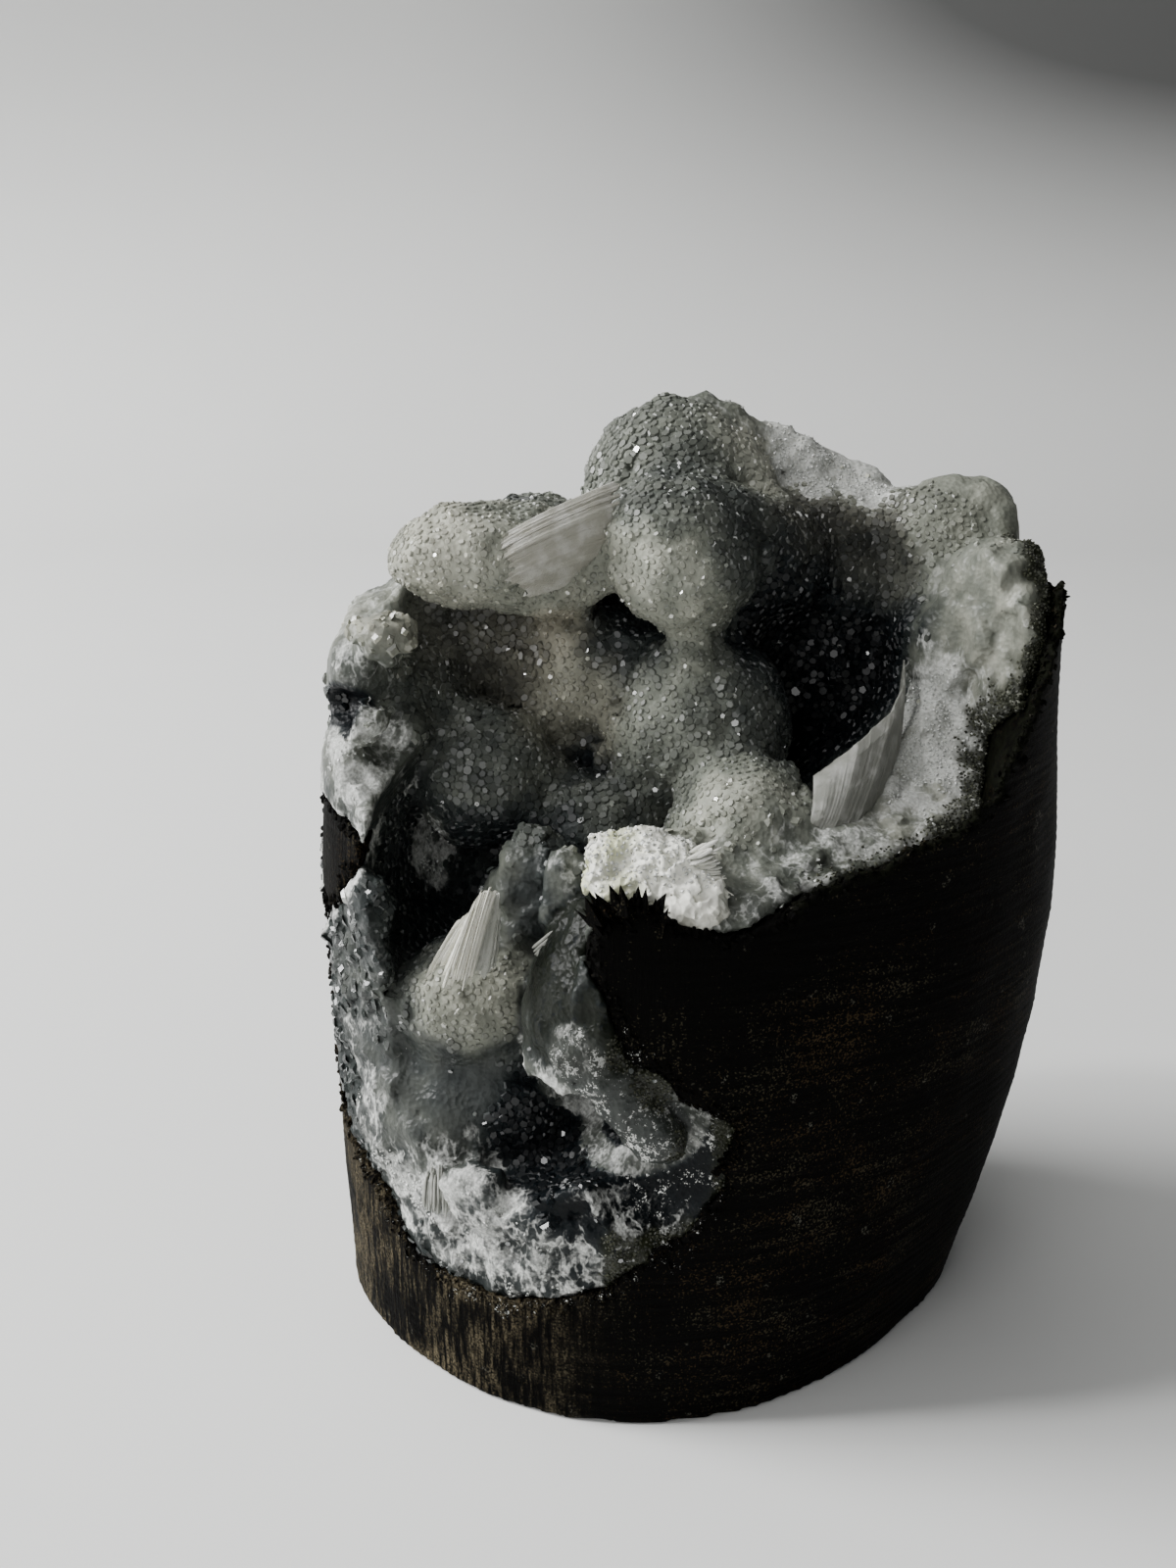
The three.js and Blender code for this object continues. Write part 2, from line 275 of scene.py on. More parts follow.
@dataclass
class Skin:
    """A mesh on its way to Blender: vertices, triangles and quads."""

    vertices: np.ndarray
    triangles: np.ndarray
    quads: np.ndarray

    def facing_out(self) -> "Skin":
        """Turns every face round if the skin holds a negative volume."""
        fans = [self.triangles, self.quads[:, [0, 1, 2]], self.quads[:, [0, 2, 3]]]
        corners = self.vertices[np.concatenate(fans)]
        volume = np.einsum("ij,ij->i", corners[:, 0], np.cross(corners[:, 1], corners[:, 2])).sum()
        if volume < 0.0:
            return Skin(self.vertices, self.triangles[:, ::-1], self.quads[:, ::-1])
        return self

    def samples(self) -> Samples:
        """Gives the vertices as samples."""
        return Samples(*(self.vertices[:, k].astype(np.float32) for k in range(3)))

    def object(self, name: str, attributes: dict[str, np.ndarray]) -> bpy.types.Object:
        """Makes the Blender object.

        Args:
            name: The object's name.
            attributes: Named numbers, one for each vertex.

        Returns:
            The object, linked to the scene.
        """
        mesh = bpy.data.meshes.new(name)
        sizes = np.concatenate([np.full(len(self.triangles), 3), np.full(len(self.quads), 4)])
        loops = np.concatenate([self.triangles.ravel(), self.quads.ravel()])
        mesh.vertices.add(len(self.vertices))
        mesh.vertices.foreach_set("co", self.vertices.astype(np.float32).ravel())
        mesh.loops.add(len(loops))
        mesh.loops.foreach_set("vertex_index", loops.astype(np.int32))
        mesh.polygons.add(len(sizes))
        starts = np.concatenate([[0], np.cumsum(sizes)[:-1]]).astype(np.int32)
        mesh.polygons.foreach_set("loop_start", starts)
        mesh.polygons.foreach_set("loop_total", sizes.astype(np.int32))
        mesh.polygons.foreach_set("use_smooth", np.ones(len(sizes), bool))
        mesh.update(calc_edges=True)
        for key, values in attributes.items():
            layer = mesh.attributes.new(key, "FLOAT", "POINT")
            layer.data.foreach_set("value", values.astype(np.float32))
        return linked(bpy.data.objects.new(name, mesh))


def linked(item: bpy.types.Object) -> bpy.types.Object:
    """Links an object to the scene and returns it."""
    bpy.context.scene.collection.objects.link(item)
    return item


# ---- The specimen's form ----------------------------------------------------------------------


@dataclass(frozen=True)
class Ellipsoid:
    """A rounded body: its middle and its half axes."""

    at: Triple
    half: Triple

    def distance(self, p: Samples) -> np.ndarray:
        """Gives the distance to the surface, negative inside."""
        x, y, z = (v - a for v, a in zip((p.x, p.y, p.z), self.at))
        a, b, c = self.half
        near = np.sqrt((x / a) ** 2 + (y / b) ** 2 + (z / c) ** 2)
        far = np.sqrt((x / a**2) ** 2 + (y / b**2) ** 2 + (z / c**2) ** 2)
        return near * (near - 1.0) / np.maximum(far, 1e-6)


@dataclass(frozen=True)
class Capsule:
    """A rounded bar between two points."""

    start: Triple
    end: Triple
    radius: float

    def distance(self, p: Samples) -> np.ndarray:
        """Gives the distance to the surface, negative inside."""
        along = np.subtract(self.end, self.start)
        x, y, z = (v - a for v, a in zip((p.x, p.y, p.z), self.start))
        share = np.clip((x * along[0] + y * along[1] + z * along[2]) / along.dot(along), 0.0, 1.0)
        gaps = [v - share * step for v, step in zip((x, y, z), along)]
        return np.sqrt(gaps[0] ** 2 + gaps[1] ** 2 + gaps[2] ** 2) - self.radius


@dataclass(frozen=True)
class CutEllipsoid(Ellipsoid):
    """A rounded body that is cut off flat beyond a plane."""

    through: Triple
    facing: Triple

    def distance(self, p: Samples) -> np.ndarray:
        """Gives the distance to the surface, negative inside."""
        steps = (n * (v - a) for v, a, n in zip((p.x, p.y, p.z), self.through, self.facing))
        return smooth_max(super().distance(p), sum(steps), 1.5 * MM)


def rounded(at: Triple, half: Triple) -> Ellipsoid:
    """Makes an ellipsoid from millimetres."""
    return Ellipsoid(mm(*at), mm(*half))


POCKET = (
    rounded((-2, -10, 103.5), (45.5, 43, 40)),
    rounded((24, -12, 84), (13.5, 18, 14)),
    rounded((31, -2, 102), (13.6, 15, 13)),
    rounded((-26, -8, 98), (30, 34, 25)),
    rounded((-31, -20, 66), (26, 30, 28)),
    rounded((-23, -26, 43.5), (31, 21, 29)),
    rounded((-40, -14, 42), (12, 17, 19)),
)
TONGUE = (
    rounded((-7.5, -36, 65.2), (6.5, 8, 6.3)),
    rounded((-2, -35, 60), (9.5, 10, 10)),
    rounded((6, -34, 54), (13, 10, 10)),
)
NOTCH = rounded((3, -37, 75), (9, 8, 6.3))
HOLLOW = (
    rounded((-3, -2, 100), (36, 30, 32)),
    rounded((-26, -19, 68), (16, 25, 20)),
    rounded((-24, -29, 46), (17, 16, 15)),
    rounded((-5, -41, 38), (10, 8, 12)),
)
RIDGE = (
    Capsule(mm(1.9, 24.5, 116.0), mm(2.6, 24.0, 121.2), 2.3 * MM),
    Capsule(mm(1.5, 25, 114.4), mm(5.6, 25, 117.4), 4.0 * MM),
    Capsule(mm(5.6, 25, 117.6), mm(15.8, 26, 113.6), 3.9 * MM),
    Capsule(mm(15.8, 26, 113.4), mm(25.0, 26, 109.2), 3.8 * MM),
    Capsule(mm(25.0, 26, 109.0), mm(32.0, 26, 104.6), 3.8 * MM),
)
LUMPS = (
    rounded((-41.5, -17, 63), (2.8, 3, 5)),
    rounded((-42.5, -20, 57), (3.5, 3, 3.5)),
    rounded((-24, -14.5, 63.5), (3.1, 3, 5.2)),
    rounded((-28, -30.5, 30), (4, 3.5, 4.5)),
    rounded((-19.5, -33, 28), (6, 3.5, 2.5)),
    rounded((-39, -10, 97), (4, 5, 3)),
    rounded((-42, -12, 86.5), (3, 4, 2.5)),
    rounded((-16.2, -24.0, 67.0), (3.8, 1.8, 7.4)),
    rounded((-20, -17, 65), (6, 4, 9)),
)
BITE = rounded((-47, -10, 87.2), (5.6, 6.5, 2.6))
BALLS = (
    rounded((-1.4, 21, 109.3), (13.5, 13.5, 13.5)),
    CutEllipsoid(mm(-2.5, 2, 104.4), mm(10.6, 10.6, 10.6), mm(-6.5, -4.5, 98.6), (-0.47, 0.20, -0.86)),
    rounded((-28, 1, 105.3), (11.5, 10, 6.4)),
    rounded((-20.5, 12, 104), (7.5, 7.5, 7.5)),
    rounded((-27, 15, 93), (16, 10, 12)),
    rounded((-13.7, 8, 89), (9.5, 9.5, 9.5)),
    rounded((0, 19, 92), (17, 13, 19)),
    rounded((0.7, 1, 82.5), (12.5, 12.5, 12.5)),
    rounded((20, 24, 99), (13.5, 13.5, 13)),
    rounded((23.4, 23, 83), (13.5, 13.5, 13.5)),
    rounded((-26.9, 2, 75), (10.5, 10.5, 10)),
    rounded((-12, -3, 67), (10, 10, 10)),
    rounded((-38, 6, 86), (8, 8, 8)),
    rounded((-14.5, 9, 78), (6, 6, 6)),
    rounded((-43, -2, 91), (5, 7, 6)),
    rounded((-44, -7, 79), (5, 7, 6)),
    rounded((6.3, -15.5, 73), (10, 9, 9)),
    rounded((-27.5, -17, 50.8), (11, 9.5, 8.7)),
    rounded((-27, -14.5, 35), (15, 12, 13)),
    rounded((37.5, 16, 103.5), (10, 9.5, 10)),
    rounded((36, 6, 91.5), (8.5, 8.5, 9)),
    CutEllipsoid(mm(39, -2, 95.5), mm(7.5, 12.5, 12.5), mm(35.8, -6.6, 97), (-0.86, -0.50, 0.05)),
    rounded((-17.5, 1.0, 103.5), (7, 4.5, 5.5)),
    rounded((-2, 9, 108), (9, 7, 6.5)),
    rounded((9, 10, 103), (9, 8, 9)),
)


@dataclass(frozen=True)
class Form:
    """The specimen's sizes, and the distance fields that they make."""

    base_radii: tuple[float, ...] = mm(48, 44, 40.5, 36.5, 33.5, 34, 39, 39, 38.5, 37, 41, 48)
    body_radii: tuple[float, ...] = mm(49.7, 44.7, 41, 38.5, 37.6, 42.6, 49.8, 47, 41, 39, 42, 48)
    top_radii: tuple[float, ...] = mm(46, 44.3, 41, 38.4, 38.4, 45, 46.6, 47, 41, 39, 41, 46.5)
    body_height: float = 62 * MM
    top_height: float = 105 * MM
    crest_x: tuple[float, ...] = mm(-52, -46, -38, -20, -12, -4, 6, 16, 24, 34, 44, 50, 54)
    crest_z: tuple[float, ...] = mm(84, 96, 101, 101, 108, 113, 115, 112, 109, 106, 104, 96, 88)
    lip: Triple = (-36 * MM, 70 * MM, 0.4)
    shoulder: Triple = mm(-12, 14, 20)
    gap: float = 0.12 * MM
    proud: float = 0.5 * MM
    flap: Ellipsoid = rounded((-8, -27, 52), (13, 11.5, 18))
    flap_wall: float = 0.8 * MM
    flap_edge: tuple[float, float] = mm(47.6, -10.6)
    lobe: Capsule = Capsule(mm(-14.0, -34.7, 53.2), mm(-5.4, -35.6, 41.4), 3.6 * MM)
    right_edge: float = 44 * MM

    def outline(self, radii: tuple[float, ...], angle: np.ndarray) -> np.ndarray:
        """Gives a smooth closed outline through radii that stand at equal angles.

        Args:
            radii: The radii, anticlockwise from -X.
            angle: The angles to read, in radians.

        Returns:
            The radius at each angle.
        """
        table = np.array(radii, np.float32)
        count = len(table)
        turn = (angle + math.pi) / (2.0 * math.pi) * count
        cell = np.floor(turn).astype(np.int64)
        share = turn - cell
        a, b, c, d = (table[(cell + k) % count] for k in (-1, 0, 1, 2))
        bend = (2 * a - 5 * b + 4 * c - d) * share**2 + (3 * b - a - 3 * c + d) * share**3
        return 0.5 * (2 * b + (c - a) * share + bend)

    def side(self, p: Samples) -> np.ndarray:
        """Gives the distance to the trunk's sawn side."""
        angle = np.arctan2(p.y, p.x)
        base, body, top = (
            self.outline(radii, angle) for radii in (self.base_radii, self.body_radii, self.top_radii)
        )
        swell = np.sin(0.5 * math.pi * np.clip(p.z / self.body_height, 0.0, 1.0))
        shrink = smooth_step(self.body_height, self.top_height, p.z)
        radius = base + (body - base) * swell + (top - body) * shrink
        return 0.96 * (np.hypot(p.x, p.y) - radius)

    def crest(self, p: Samples) -> np.ndarray:
        """Gives the height above the broken back crest."""
        height = np.interp(p.x, self.crest_x, self.crest_z).astype(np.float32)
        return 0.85 * (p.z - height)

    def rim_face(self, p: Samples) -> np.ndarray:
        """Gives the height above the broken rim: gentle over the lip, steep up the shoulder."""
        front, height, slope = self.lip
        start, end, rise = self.shoulder
        rim = height + slope * (p.y - front) + rise * smooth_step(start, end, p.y)
        return 0.75 * (p.z - rim)

    def pocket(self, p: Samples) -> np.ndarray:
        """Gives the distance to the pocket in the basalt, negative in the pocket."""
        broken = smooth_max(united(POCKET, p, 3 * MM), -united(TONGUE, p, 2 * MM), 1 * MM)
        return smooth_min(np.maximum(broken, -self.window(p)), NOTCH.distance(p), 1.5 * MM)

    def window(self, p: Samples) -> np.ndarray:
        """Gives the distance to the wedge of sawn basalt that shows through the left rim."""
        top = 0.88 * (p.z - 75 * MM + 0.55 * (p.x + 47 * MM))
        side = 0.89 * (p.x + 41.2 * MM + 0.52 * (71.8 * MM - p.z))
        return np.maximum(np.maximum(top, side), p.y + 2 * MM)

    def hollow(self, p: Samples) -> np.ndarray:
        """Gives the distance to the open space inside the crust, negative in the open."""
        return united(HOLLOW, p, 5 * MM)

    def walled(self, p: Samples) -> np.ndarray:
        """Gives where the basalt's wall stands behind the balls: the back and the right."""
        return np.maximum(smooth_step(8 * MM, 16 * MM, p.y), smooth_step(33 * MM, 39 * MM, p.x))

    def balls(self, p: Samples, start: np.ndarray, blend: float) -> np.ndarray:
        """Unites the balls with a field.

        Args:
            p: The samples.
            start: The field to begin with.
            blend: The fillet between balls.

        Returns:
            The united field.
        """
        whole = start.copy()
        margin = 5 * MM
        for ball in BALLS:
            index, part = p.window(ball.at, tuple(h + margin for h in ball.half))
            whole[index] = smooth_min(whole[index], ball.distance(part), blend)
        return whole


def united(shapes: tuple, p: Samples, blend: float) -> np.ndarray:
    """Unites several shapes with fillets."""
    whole = shapes[0].distance(p)
    for shape in shapes[1:]:
        whole = smooth_min(whole, shape.distance(p), blend)
    return whole


@dataclass
class Stone:
    """The specimen's fields on a grid: what both the basalt and the crust are cut from."""

    form: Form
    grid: Grid
    rough: Noise = field(default_factory=lambda: Noise(11))
    fine: Noise = field(default_factory=lambda: Noise(12))
    facets: Facets = field(default_factory=lambda: Facets(13))

    def __post_init__(self) -> None:
        """Works out the fields, roughened close to their surfaces."""
        p = self.grid.samples
        self.side = self.form.side(p)
        self.crest = self.form.crest(p) + 0 * self.side
        self.pocket = self.form.pocket(p)
        self.hollow = self.form.hollow(p)
        self.face = self.form.rim_face(p) + 0 * self.side
        self.roughen(self.pocket, 2.5 * MM, ((3.6 * MM, 0.8 * MM), (1.5 * MM, 0.35 * MM)))
        self.roughen(self.crest, 3.0 * MM, ((7.0 * MM, 1.3 * MM), (2.2 * MM, 0.5 * MM)))
        self.roughen(self.face, 3.0 * MM, ((5.0 * MM, 0.7 * MM), (1.8 * MM, 0.3 * MM)), mm(3.4, 0.8))
        self.roughen(self.hollow, 2.0 * MM, ((6.0 * MM, 0.7 * MM),))
        self.roughen(self.side, 1.5 * MM, ((22.0 * MM, 0.45 * MM), (5.0 * MM, 0.15 * MM)))

    def roughen(
        self, distance: np.ndarray, reach: float, layers: tuple, broken: tuple = (MM, 0.0)
    ) -> None:
        """Adds noise to a field in place, close to its surface.

        Args:
            distance: The field.
            reach: How far from the surface the noise goes.
            layers: The size and depth of each layer of noise.
            broken: The size and depth of the facets.
        """
        index, near = self.grid.near(distance, reach)
        change = np.zeros(len(near.x), np.float32)
        if broken[1]:
            change += broken[1] * self.facets.at(near, broken[0])
        for k, (size, depth) in enumerate(layers):
            source = self.rough if k == 0 else self.fine
            change += depth * source.at(near, size)
        distance[index] += change

    def trunk(self) -> np.ndarray:
        """Gives the trunk before the pocket is taken out of it."""
        return smooth_max(np.maximum(self.side, -self.grid.samples.z), self.crest, 1.2 * MM)

    def basalt(self) -> np.ndarray:
        """Gives the basalt."""
        return smooth_max(self.trunk(), -self.pocket, 0.5 * MM)

    def broken(self) -> np.ndarray:
        """Gives the broken front of the crust, which stands in and out of the sawn side."""
        broken = self.trunk() - self.form.proud
        index, near = self.grid.near(broken, 5 * MM)
        lumps = 0.9 * self.rough.at(near, 6.5 * MM) + 0.3 * self.fine.at(near, 1.6 * MM)
        chipped = 0.9 * self.facets.at(near, 3.6 * MM) + 0.4 * self.facets.at(near, 1.7 * MM)
        calm = 1.0 - 0.6 * smooth_step(30 * MM, 37 * MM, near.x)
        broken[index] += (1.0 + calm * (lumps + chipped)) * MM
        return broken

    def crust(self) -> np.ndarray:
        """Gives the chalcedony."""
        p = self.grid.samples
        form = self.form
        crust = smooth_max(self.pocket + form.gap, -self.hollow, 0.8 * MM)
        crust = smooth_max(crust, self.broken(), 0.8 * MM)
        crust = smooth_max(crust, self.face, 1.2 * MM)
        balls = self.form.balls(p, np.full_like(crust, 8 * MM), 4.5 * MM)
        self.roughen(balls, 3.0 * MM, ((7.5 * MM, 0.9 * MM), (2.4 * MM, 0.25 * MM)), mm(5.2, 0.6))
        index, near = self.grid.near(balls, 3.2 * MM)
        right = smooth_step(27 * MM, 34 * MM, near.x) * smooth_step(112 * MM, 104 * MM, near.z)
        balls[index] += right * 1.1 * MM * self.facets.at(near, 5.6 * MM)
        self.round = balls.copy()
        ridge = united(RIDGE, p, 2 * MM)
        self.roughen(ridge, 3.4 * MM, ((3.9 * MM, 0.5 * MM), (1.7 * MM, 0.25 * MM)), mm(3.0, 0.8))
        crust = smooth_min(crust, ridge, 2.0 * MM)
        lumps = united(LUMPS, p, 1 * MM)
        self.roughen(lumps, 2.0 * MM, ((2.6 * MM, 0.5 * MM), (1.2 * MM, 0.2 * MM)), mm(2.3, 0.9))
        crust = smooth_min(crust, np.maximum(lumps, self.side - form.proud), 1.2 * MM)
        kept = self.side - form.proud + (form.proud + 0.8 * MM) * form.walled(p)
        balls = smooth_max(balls, kept, 0.8 * MM)
        crust = smooth_min(crust, balls, 2.2 * MM)
        strip = smooth_min(self.flap(p), form.lobe.distance(p), 1.2 * MM)
        self.roughen(strip, 2.2 * MM, ((2.3 * MM, 0.35 * MM), (1.1 * MM, 0.18 * MM)), mm(2.3, 0.45))
        crust = smooth_min(crust, strip, 0.8 * MM)
        crust = smooth_max(crust, -BITE.distance(p), 0.6 * MM)
        crust = smooth_max(crust, p.x - form.right_edge, 1.0 * MM)
        return np.maximum(crust, form.gap - self.basalt())

    def flap(self, p: Samples) -> np.ndarray:
        """Gives the thin flap of crust over the lower pocket."""
        form = self.form
        shell = np.abs(form.flap.distance(p)) - form.flap_wall
        bottom, right = form.flap_edge
        return smooth_max(shell, np.maximum(bottom - p.z, p.x - right), 0.5 * MM)


# ---- Tones: where the stone is pale or dark (its tone, with painted light and shade), warm, broken or mossy ---


@dataclass(frozen=True)
class Tone:
    """A soft patch of the stone's tone.

    Attributes:
        at: Its middle, in millimetres.
        light: From 0, slate, to 1, olive grey; the stone's own tone together with painted light and shade, pale where
            light shines through or onto the balls and dark in shaded recesses.
        warm: How sandy it is.
        white: How much of it is frosted white.
        grain: How much of it quartz grains cover.
        reach: How far it goes, in millimetres.
    """

    at: Triple
    light: float
    warm: float = 0.0
    white: float = 0.0
    grain: float = 1.0
    reach: float = 5.0


# The light values paint light and shade along with the stone's tone: pale patches where light shines through or onto
# the balls, near-black ones in the shaded recesses.
TONES = (
    Tone((-7, -2, 94), 0.30, reach=3),
    Tone((-9, 1, 93), 0.24, reach=4),
    Tone((-12, 1, 94), 0.28, reach=3),
    Tone((-5, -2, 93), 0.32, reach=3),
    Tone((-33, -5, 69), 0.60, white=0.9, grain=0, reach=2),
    Tone((-35, 0, 63), 0.50, white=0.8, grain=0, reach=2),
    Tone((-37, 0, 67), 0.50, white=0.8, grain=0, reach=2),
    Tone((-24, -17, 65), 0.62, grain=0, reach=4),
    Tone((-16.5, -27, 67), 0.38, white=0.14, grain=0, reach=4),
    Tone((-20.5, -21, 65), 0.24, grain=0.4, reach=3.5),
    Tone((-9, 13, 118), 0.60),
    Tone((0, 14, 121), 0.58),
    Tone((3, 24, 121), 0.66, white=0.15, grain=0, reach=4),
    Tone((8, 15, 117), 1.0, reach=6),
    Tone((0, 9, 115), 0.40),
    Tone((-12, 16, 110), 0.62),
    Tone((-3, -4, 113), 0.49, reach=4),
    Tone((5, 0, 112), 0.40, reach=4),
    Tone((-5, -8, 104), 0.88, reach=6),
    Tone((-10, -5, 101), 0.72, 0.1, reach=4),
    Tone((7, -4, 105), 0.40, reach=4),
    Tone((-1, -7, 99), 0.82, reach=5),
    Tone((-33, -8, 105), 0.92, 0.1, reach=7),
    Tone((-22, -4, 106), 0.75),
    Tone((-33, 5, 92), 0.40, 0.15),
    Tone((-24, 5, 92), 0.42, 0.2),
    Tone((-18, 2, 95), 0.90, 0.5, reach=4),
    Tone((-15, -1, 87), 0.71, 0.25),
    Tone((-6, 3, 94), 0.24, reach=4),
    Tone((-6, -8, 88), 0.66),
    Tone((-1, -11, 85), 0.57),
    Tone((8, -9, 85), 0.38),
    Tone((-4, -10, 78), 0.48),
    Tone((20, 13, 106), 0.28, 0.2, reach=7),
    Tone((26, 11, 99), 0.48, 0.1, reach=4),
    # painted shade, with the dark tone of clear quartz over basalt: the deep recess among the right-hand balls is held
    # near black
    Tone((20, 10, 88), 0.0, reach=10),
    Tone((-24, -8, 78), 0.48),
    Tone((-26, -6, 82), 0.44, reach=4),
    Tone((-24, -6, 69), 0.20),
    Tone((-25, -7.5, 70), 0.16, reach=3.5),
    Tone((-36, -2, 86), 0.46, reach=6),
    Tone((-12, 5, 74), 0.12),
    Tone((-30, -8, 64), 0.22, reach=5),
    Tone((5, -21, 80), 0.86, reach=7),
    Tone((36, 9, 110), 0.70, 0.05, grain=1.0, reach=7),
    Tone((44, 13, 106), 0.70, reach=6),
    Tone((38, 2, 101), 0.77, grain=0, reach=5),
    Tone((37, -6, 96), 0.82, grain=0.0, reach=6),
    Tone((42, -8, 94), 0.88, grain=0.0, reach=5),
    Tone((-28, -25, 55), 0.79, 0.1),
    Tone((-30, -24, 43), 0.36, grain=0.2, reach=6),
    Tone((-37, -23, 37), 0.46, white=0.1, grain=0, reach=4),
    Tone((-35.4, -29, 50.8), 0.6, white=0.9, grain=0, reach=1.6),
    # painted shade, with the dark tone of clear quartz over basalt: the lower hollow is held near black
    Tone((-19, -27, 36), 0.02, reach=6),
    Tone((-31, -27, 32), 0.46, white=0.55, grain=0, reach=4),
    Tone((-26, -31, 29), 0.36, white=0.70, grain=0, reach=3),
    Tone((-12, -35, 31), 0.04, white=0.22, grain=0, reach=3),
    Tone((31, -6, 85), 1.0, white=1.25, grain=0.0, reach=6.5),
    Tone((22, -3, 77), 0.80, white=0.20, grain=0.0, reach=5),
    Tone((12, -28, 74), 0.54, white=0.34, grain=0.0, reach=7),
    Tone((25, -20, 77), 0.90, white=0.62, grain=0.0, reach=6),
    Tone((-43, 3, 98), 0.82, white=0.28, grain=0),
    Tone((-41, -9, 90), 0.50, white=0.44, grain=0, reach=4),
    Tone((-42, -13, 83), 0.70, white=0.72, grain=0),
    Tone((-41, -10, 76), 0.34, white=0.3, grain=0),
    Tone((-40, -8, 70), 0.30, white=0.25),
    Tone((-41, -15, 61), 0.30, white=0.10),
    Tone((-43, -18, 54), 0.38, white=0.14),
    Tone((-44, -16, 43), 0.36, white=0.30, grain=0, reach=3),
    Tone((-43, -19, 36), 0.32, white=0.46, grain=0, reach=3),
    Tone((-40, -23, 31), 0.36, white=0.70, grain=0, reach=3),
    Tone((-35.5, -26, 29), 0.5, white=0.85, grain=0, reach=3),
    Tone((-36, -27.5, 27), 0.28, white=0.7, grain=0, reach=3),
    Tone((-30, -31.5, 24.5), 0.26, white=0.60, grain=0, reach=3.5),
    Tone((-22, -35.5, 23), 0.28, white=0.58, grain=0, reach=3.5),
    Tone((-13, -38, 22.5), 0.24, white=0.50, grain=0, reach=3.5),
    Tone((-6, -36, 27), 0.03, white=0.34, grain=0, reach=4),
    Tone((0, -36, 38), 0.03, grain=0, reach=7),
    Tone((1, -35, 42), 0.03, grain=0, reach=4),
    Tone((-8, -28, 74), 0.70, white=0.35),
    Tone((-14, -30, 62), 0.40, grain=0, reach=4),
    Tone((-13, -39, 54), 0.20, 0.2, white=0.2, grain=0, reach=4),
    Tone((-17, -37, 49), 0.56, white=0.45, grain=0, reach=3),
    Tone((-8, -39, 45), 0.42, white=0.25, grain=0, reach=4),
    # The crest's rows are whiter than its frost alone, as painted light shining through its thin edge.
    Tone((9, 25, 119.5), 0.85, white=0.50, grain=0, reach=4.5),
    Tone((16, 26, 116.5), 1.0, white=1.2, grain=0, reach=4.5),
    Tone((23, 26, 113), 1.0, white=1.2, grain=0, reach=4.5),
    Tone((30, 26, 109), 0.90, white=0.9, grain=0, reach=4.5),
    Tone((17, 21, 113.5), 1.0, white=1.3, grain=0, reach=4.2),
    Tone((24, 19.5, 110.6), 1.0, white=1.2, grain=0, reach=4.2),
)


def toned(p: Samples, wander: Noise) -> dict[str, np.ndarray]:
    """Blends the tones over some samples.

    Args:
        p: Flat samples, in metres.
        wander: The noise that makes the patches' edges ragged.

    Returns:
        How light, warm, white and grainy each sample is, by name; the light values carry painted light and shade as
        well as tone.
    """
    shift = [1.8 * MM * wander.at(Samples(p.x + k * MM, p.y, p.z), 3.1 * MM) for k in (0, 40, 80)]
    x, y, z = (v + s for v, s in zip((p.x, p.y, p.z), shift))
    total = np.full(len(p.x), 0.004, np.float32)
    blended = {"light": 0.3 * total, "warm": 0.0 * total, "white": 0.0 * total, "grain": 1.0 * total}
    for tone in TONES:
        a, b, c = mm(*tone.at)
        near = ((x - a) ** 2 + (y - b) ** 2 + (z - c) ** 2) / (tone.reach * MM) ** 2
        weight = np.exp(-near)
        total += weight
        for key, values in blended.items():
            values += weight * getattr(tone, key)
    blended = {key: values / total for key, values in blended.items()}
    grain = 0.10 * wander.at(p, 2.3 * MM) + 0.06 * wander.at(p, 1.0 * MM)
    blended["light"] = np.clip(blended["light"] + grain * (0.35 + blended["light"]), 0.0, 1.0)
    return blended


# ---- Node trees -------------------------------------------------------------------------------


class Tree:
    """A short way to build a node tree."""

    def __init__(self, tree: bpy.types.NodeTree) -> None:
        """Takes the tree to build in."""
        self.tree = tree

    def add(self, kind: str, inputs: dict | None = None, **settings: object) -> bpy.types.Node:
        """Adds a node.

        Args:
            kind: The node's type.
            inputs: A value or a socket to link for each input, by name or number.
            settings: The node's own settings.

        Returns:
            The node.
        """
        node = self.tree.nodes.new(kind)
        for key, value in settings.items():
            setattr(node, key, value)
        for key, value in (inputs or {}).items():
            if isinstance(value, bpy.types.NodeSocket):
                self.tree.links.new(value, node.inputs[key])
            else:
                node.inputs[key].default_value = value
        return node

    def math(self, operation: str, *values: object) -> bpy.types.NodeSocket:
        """Works out a sum on numbers or sockets and gives the result's socket."""
        return self.add("ShaderNodeMath", dict(enumerate(values)), operation=operation).outputs[0]


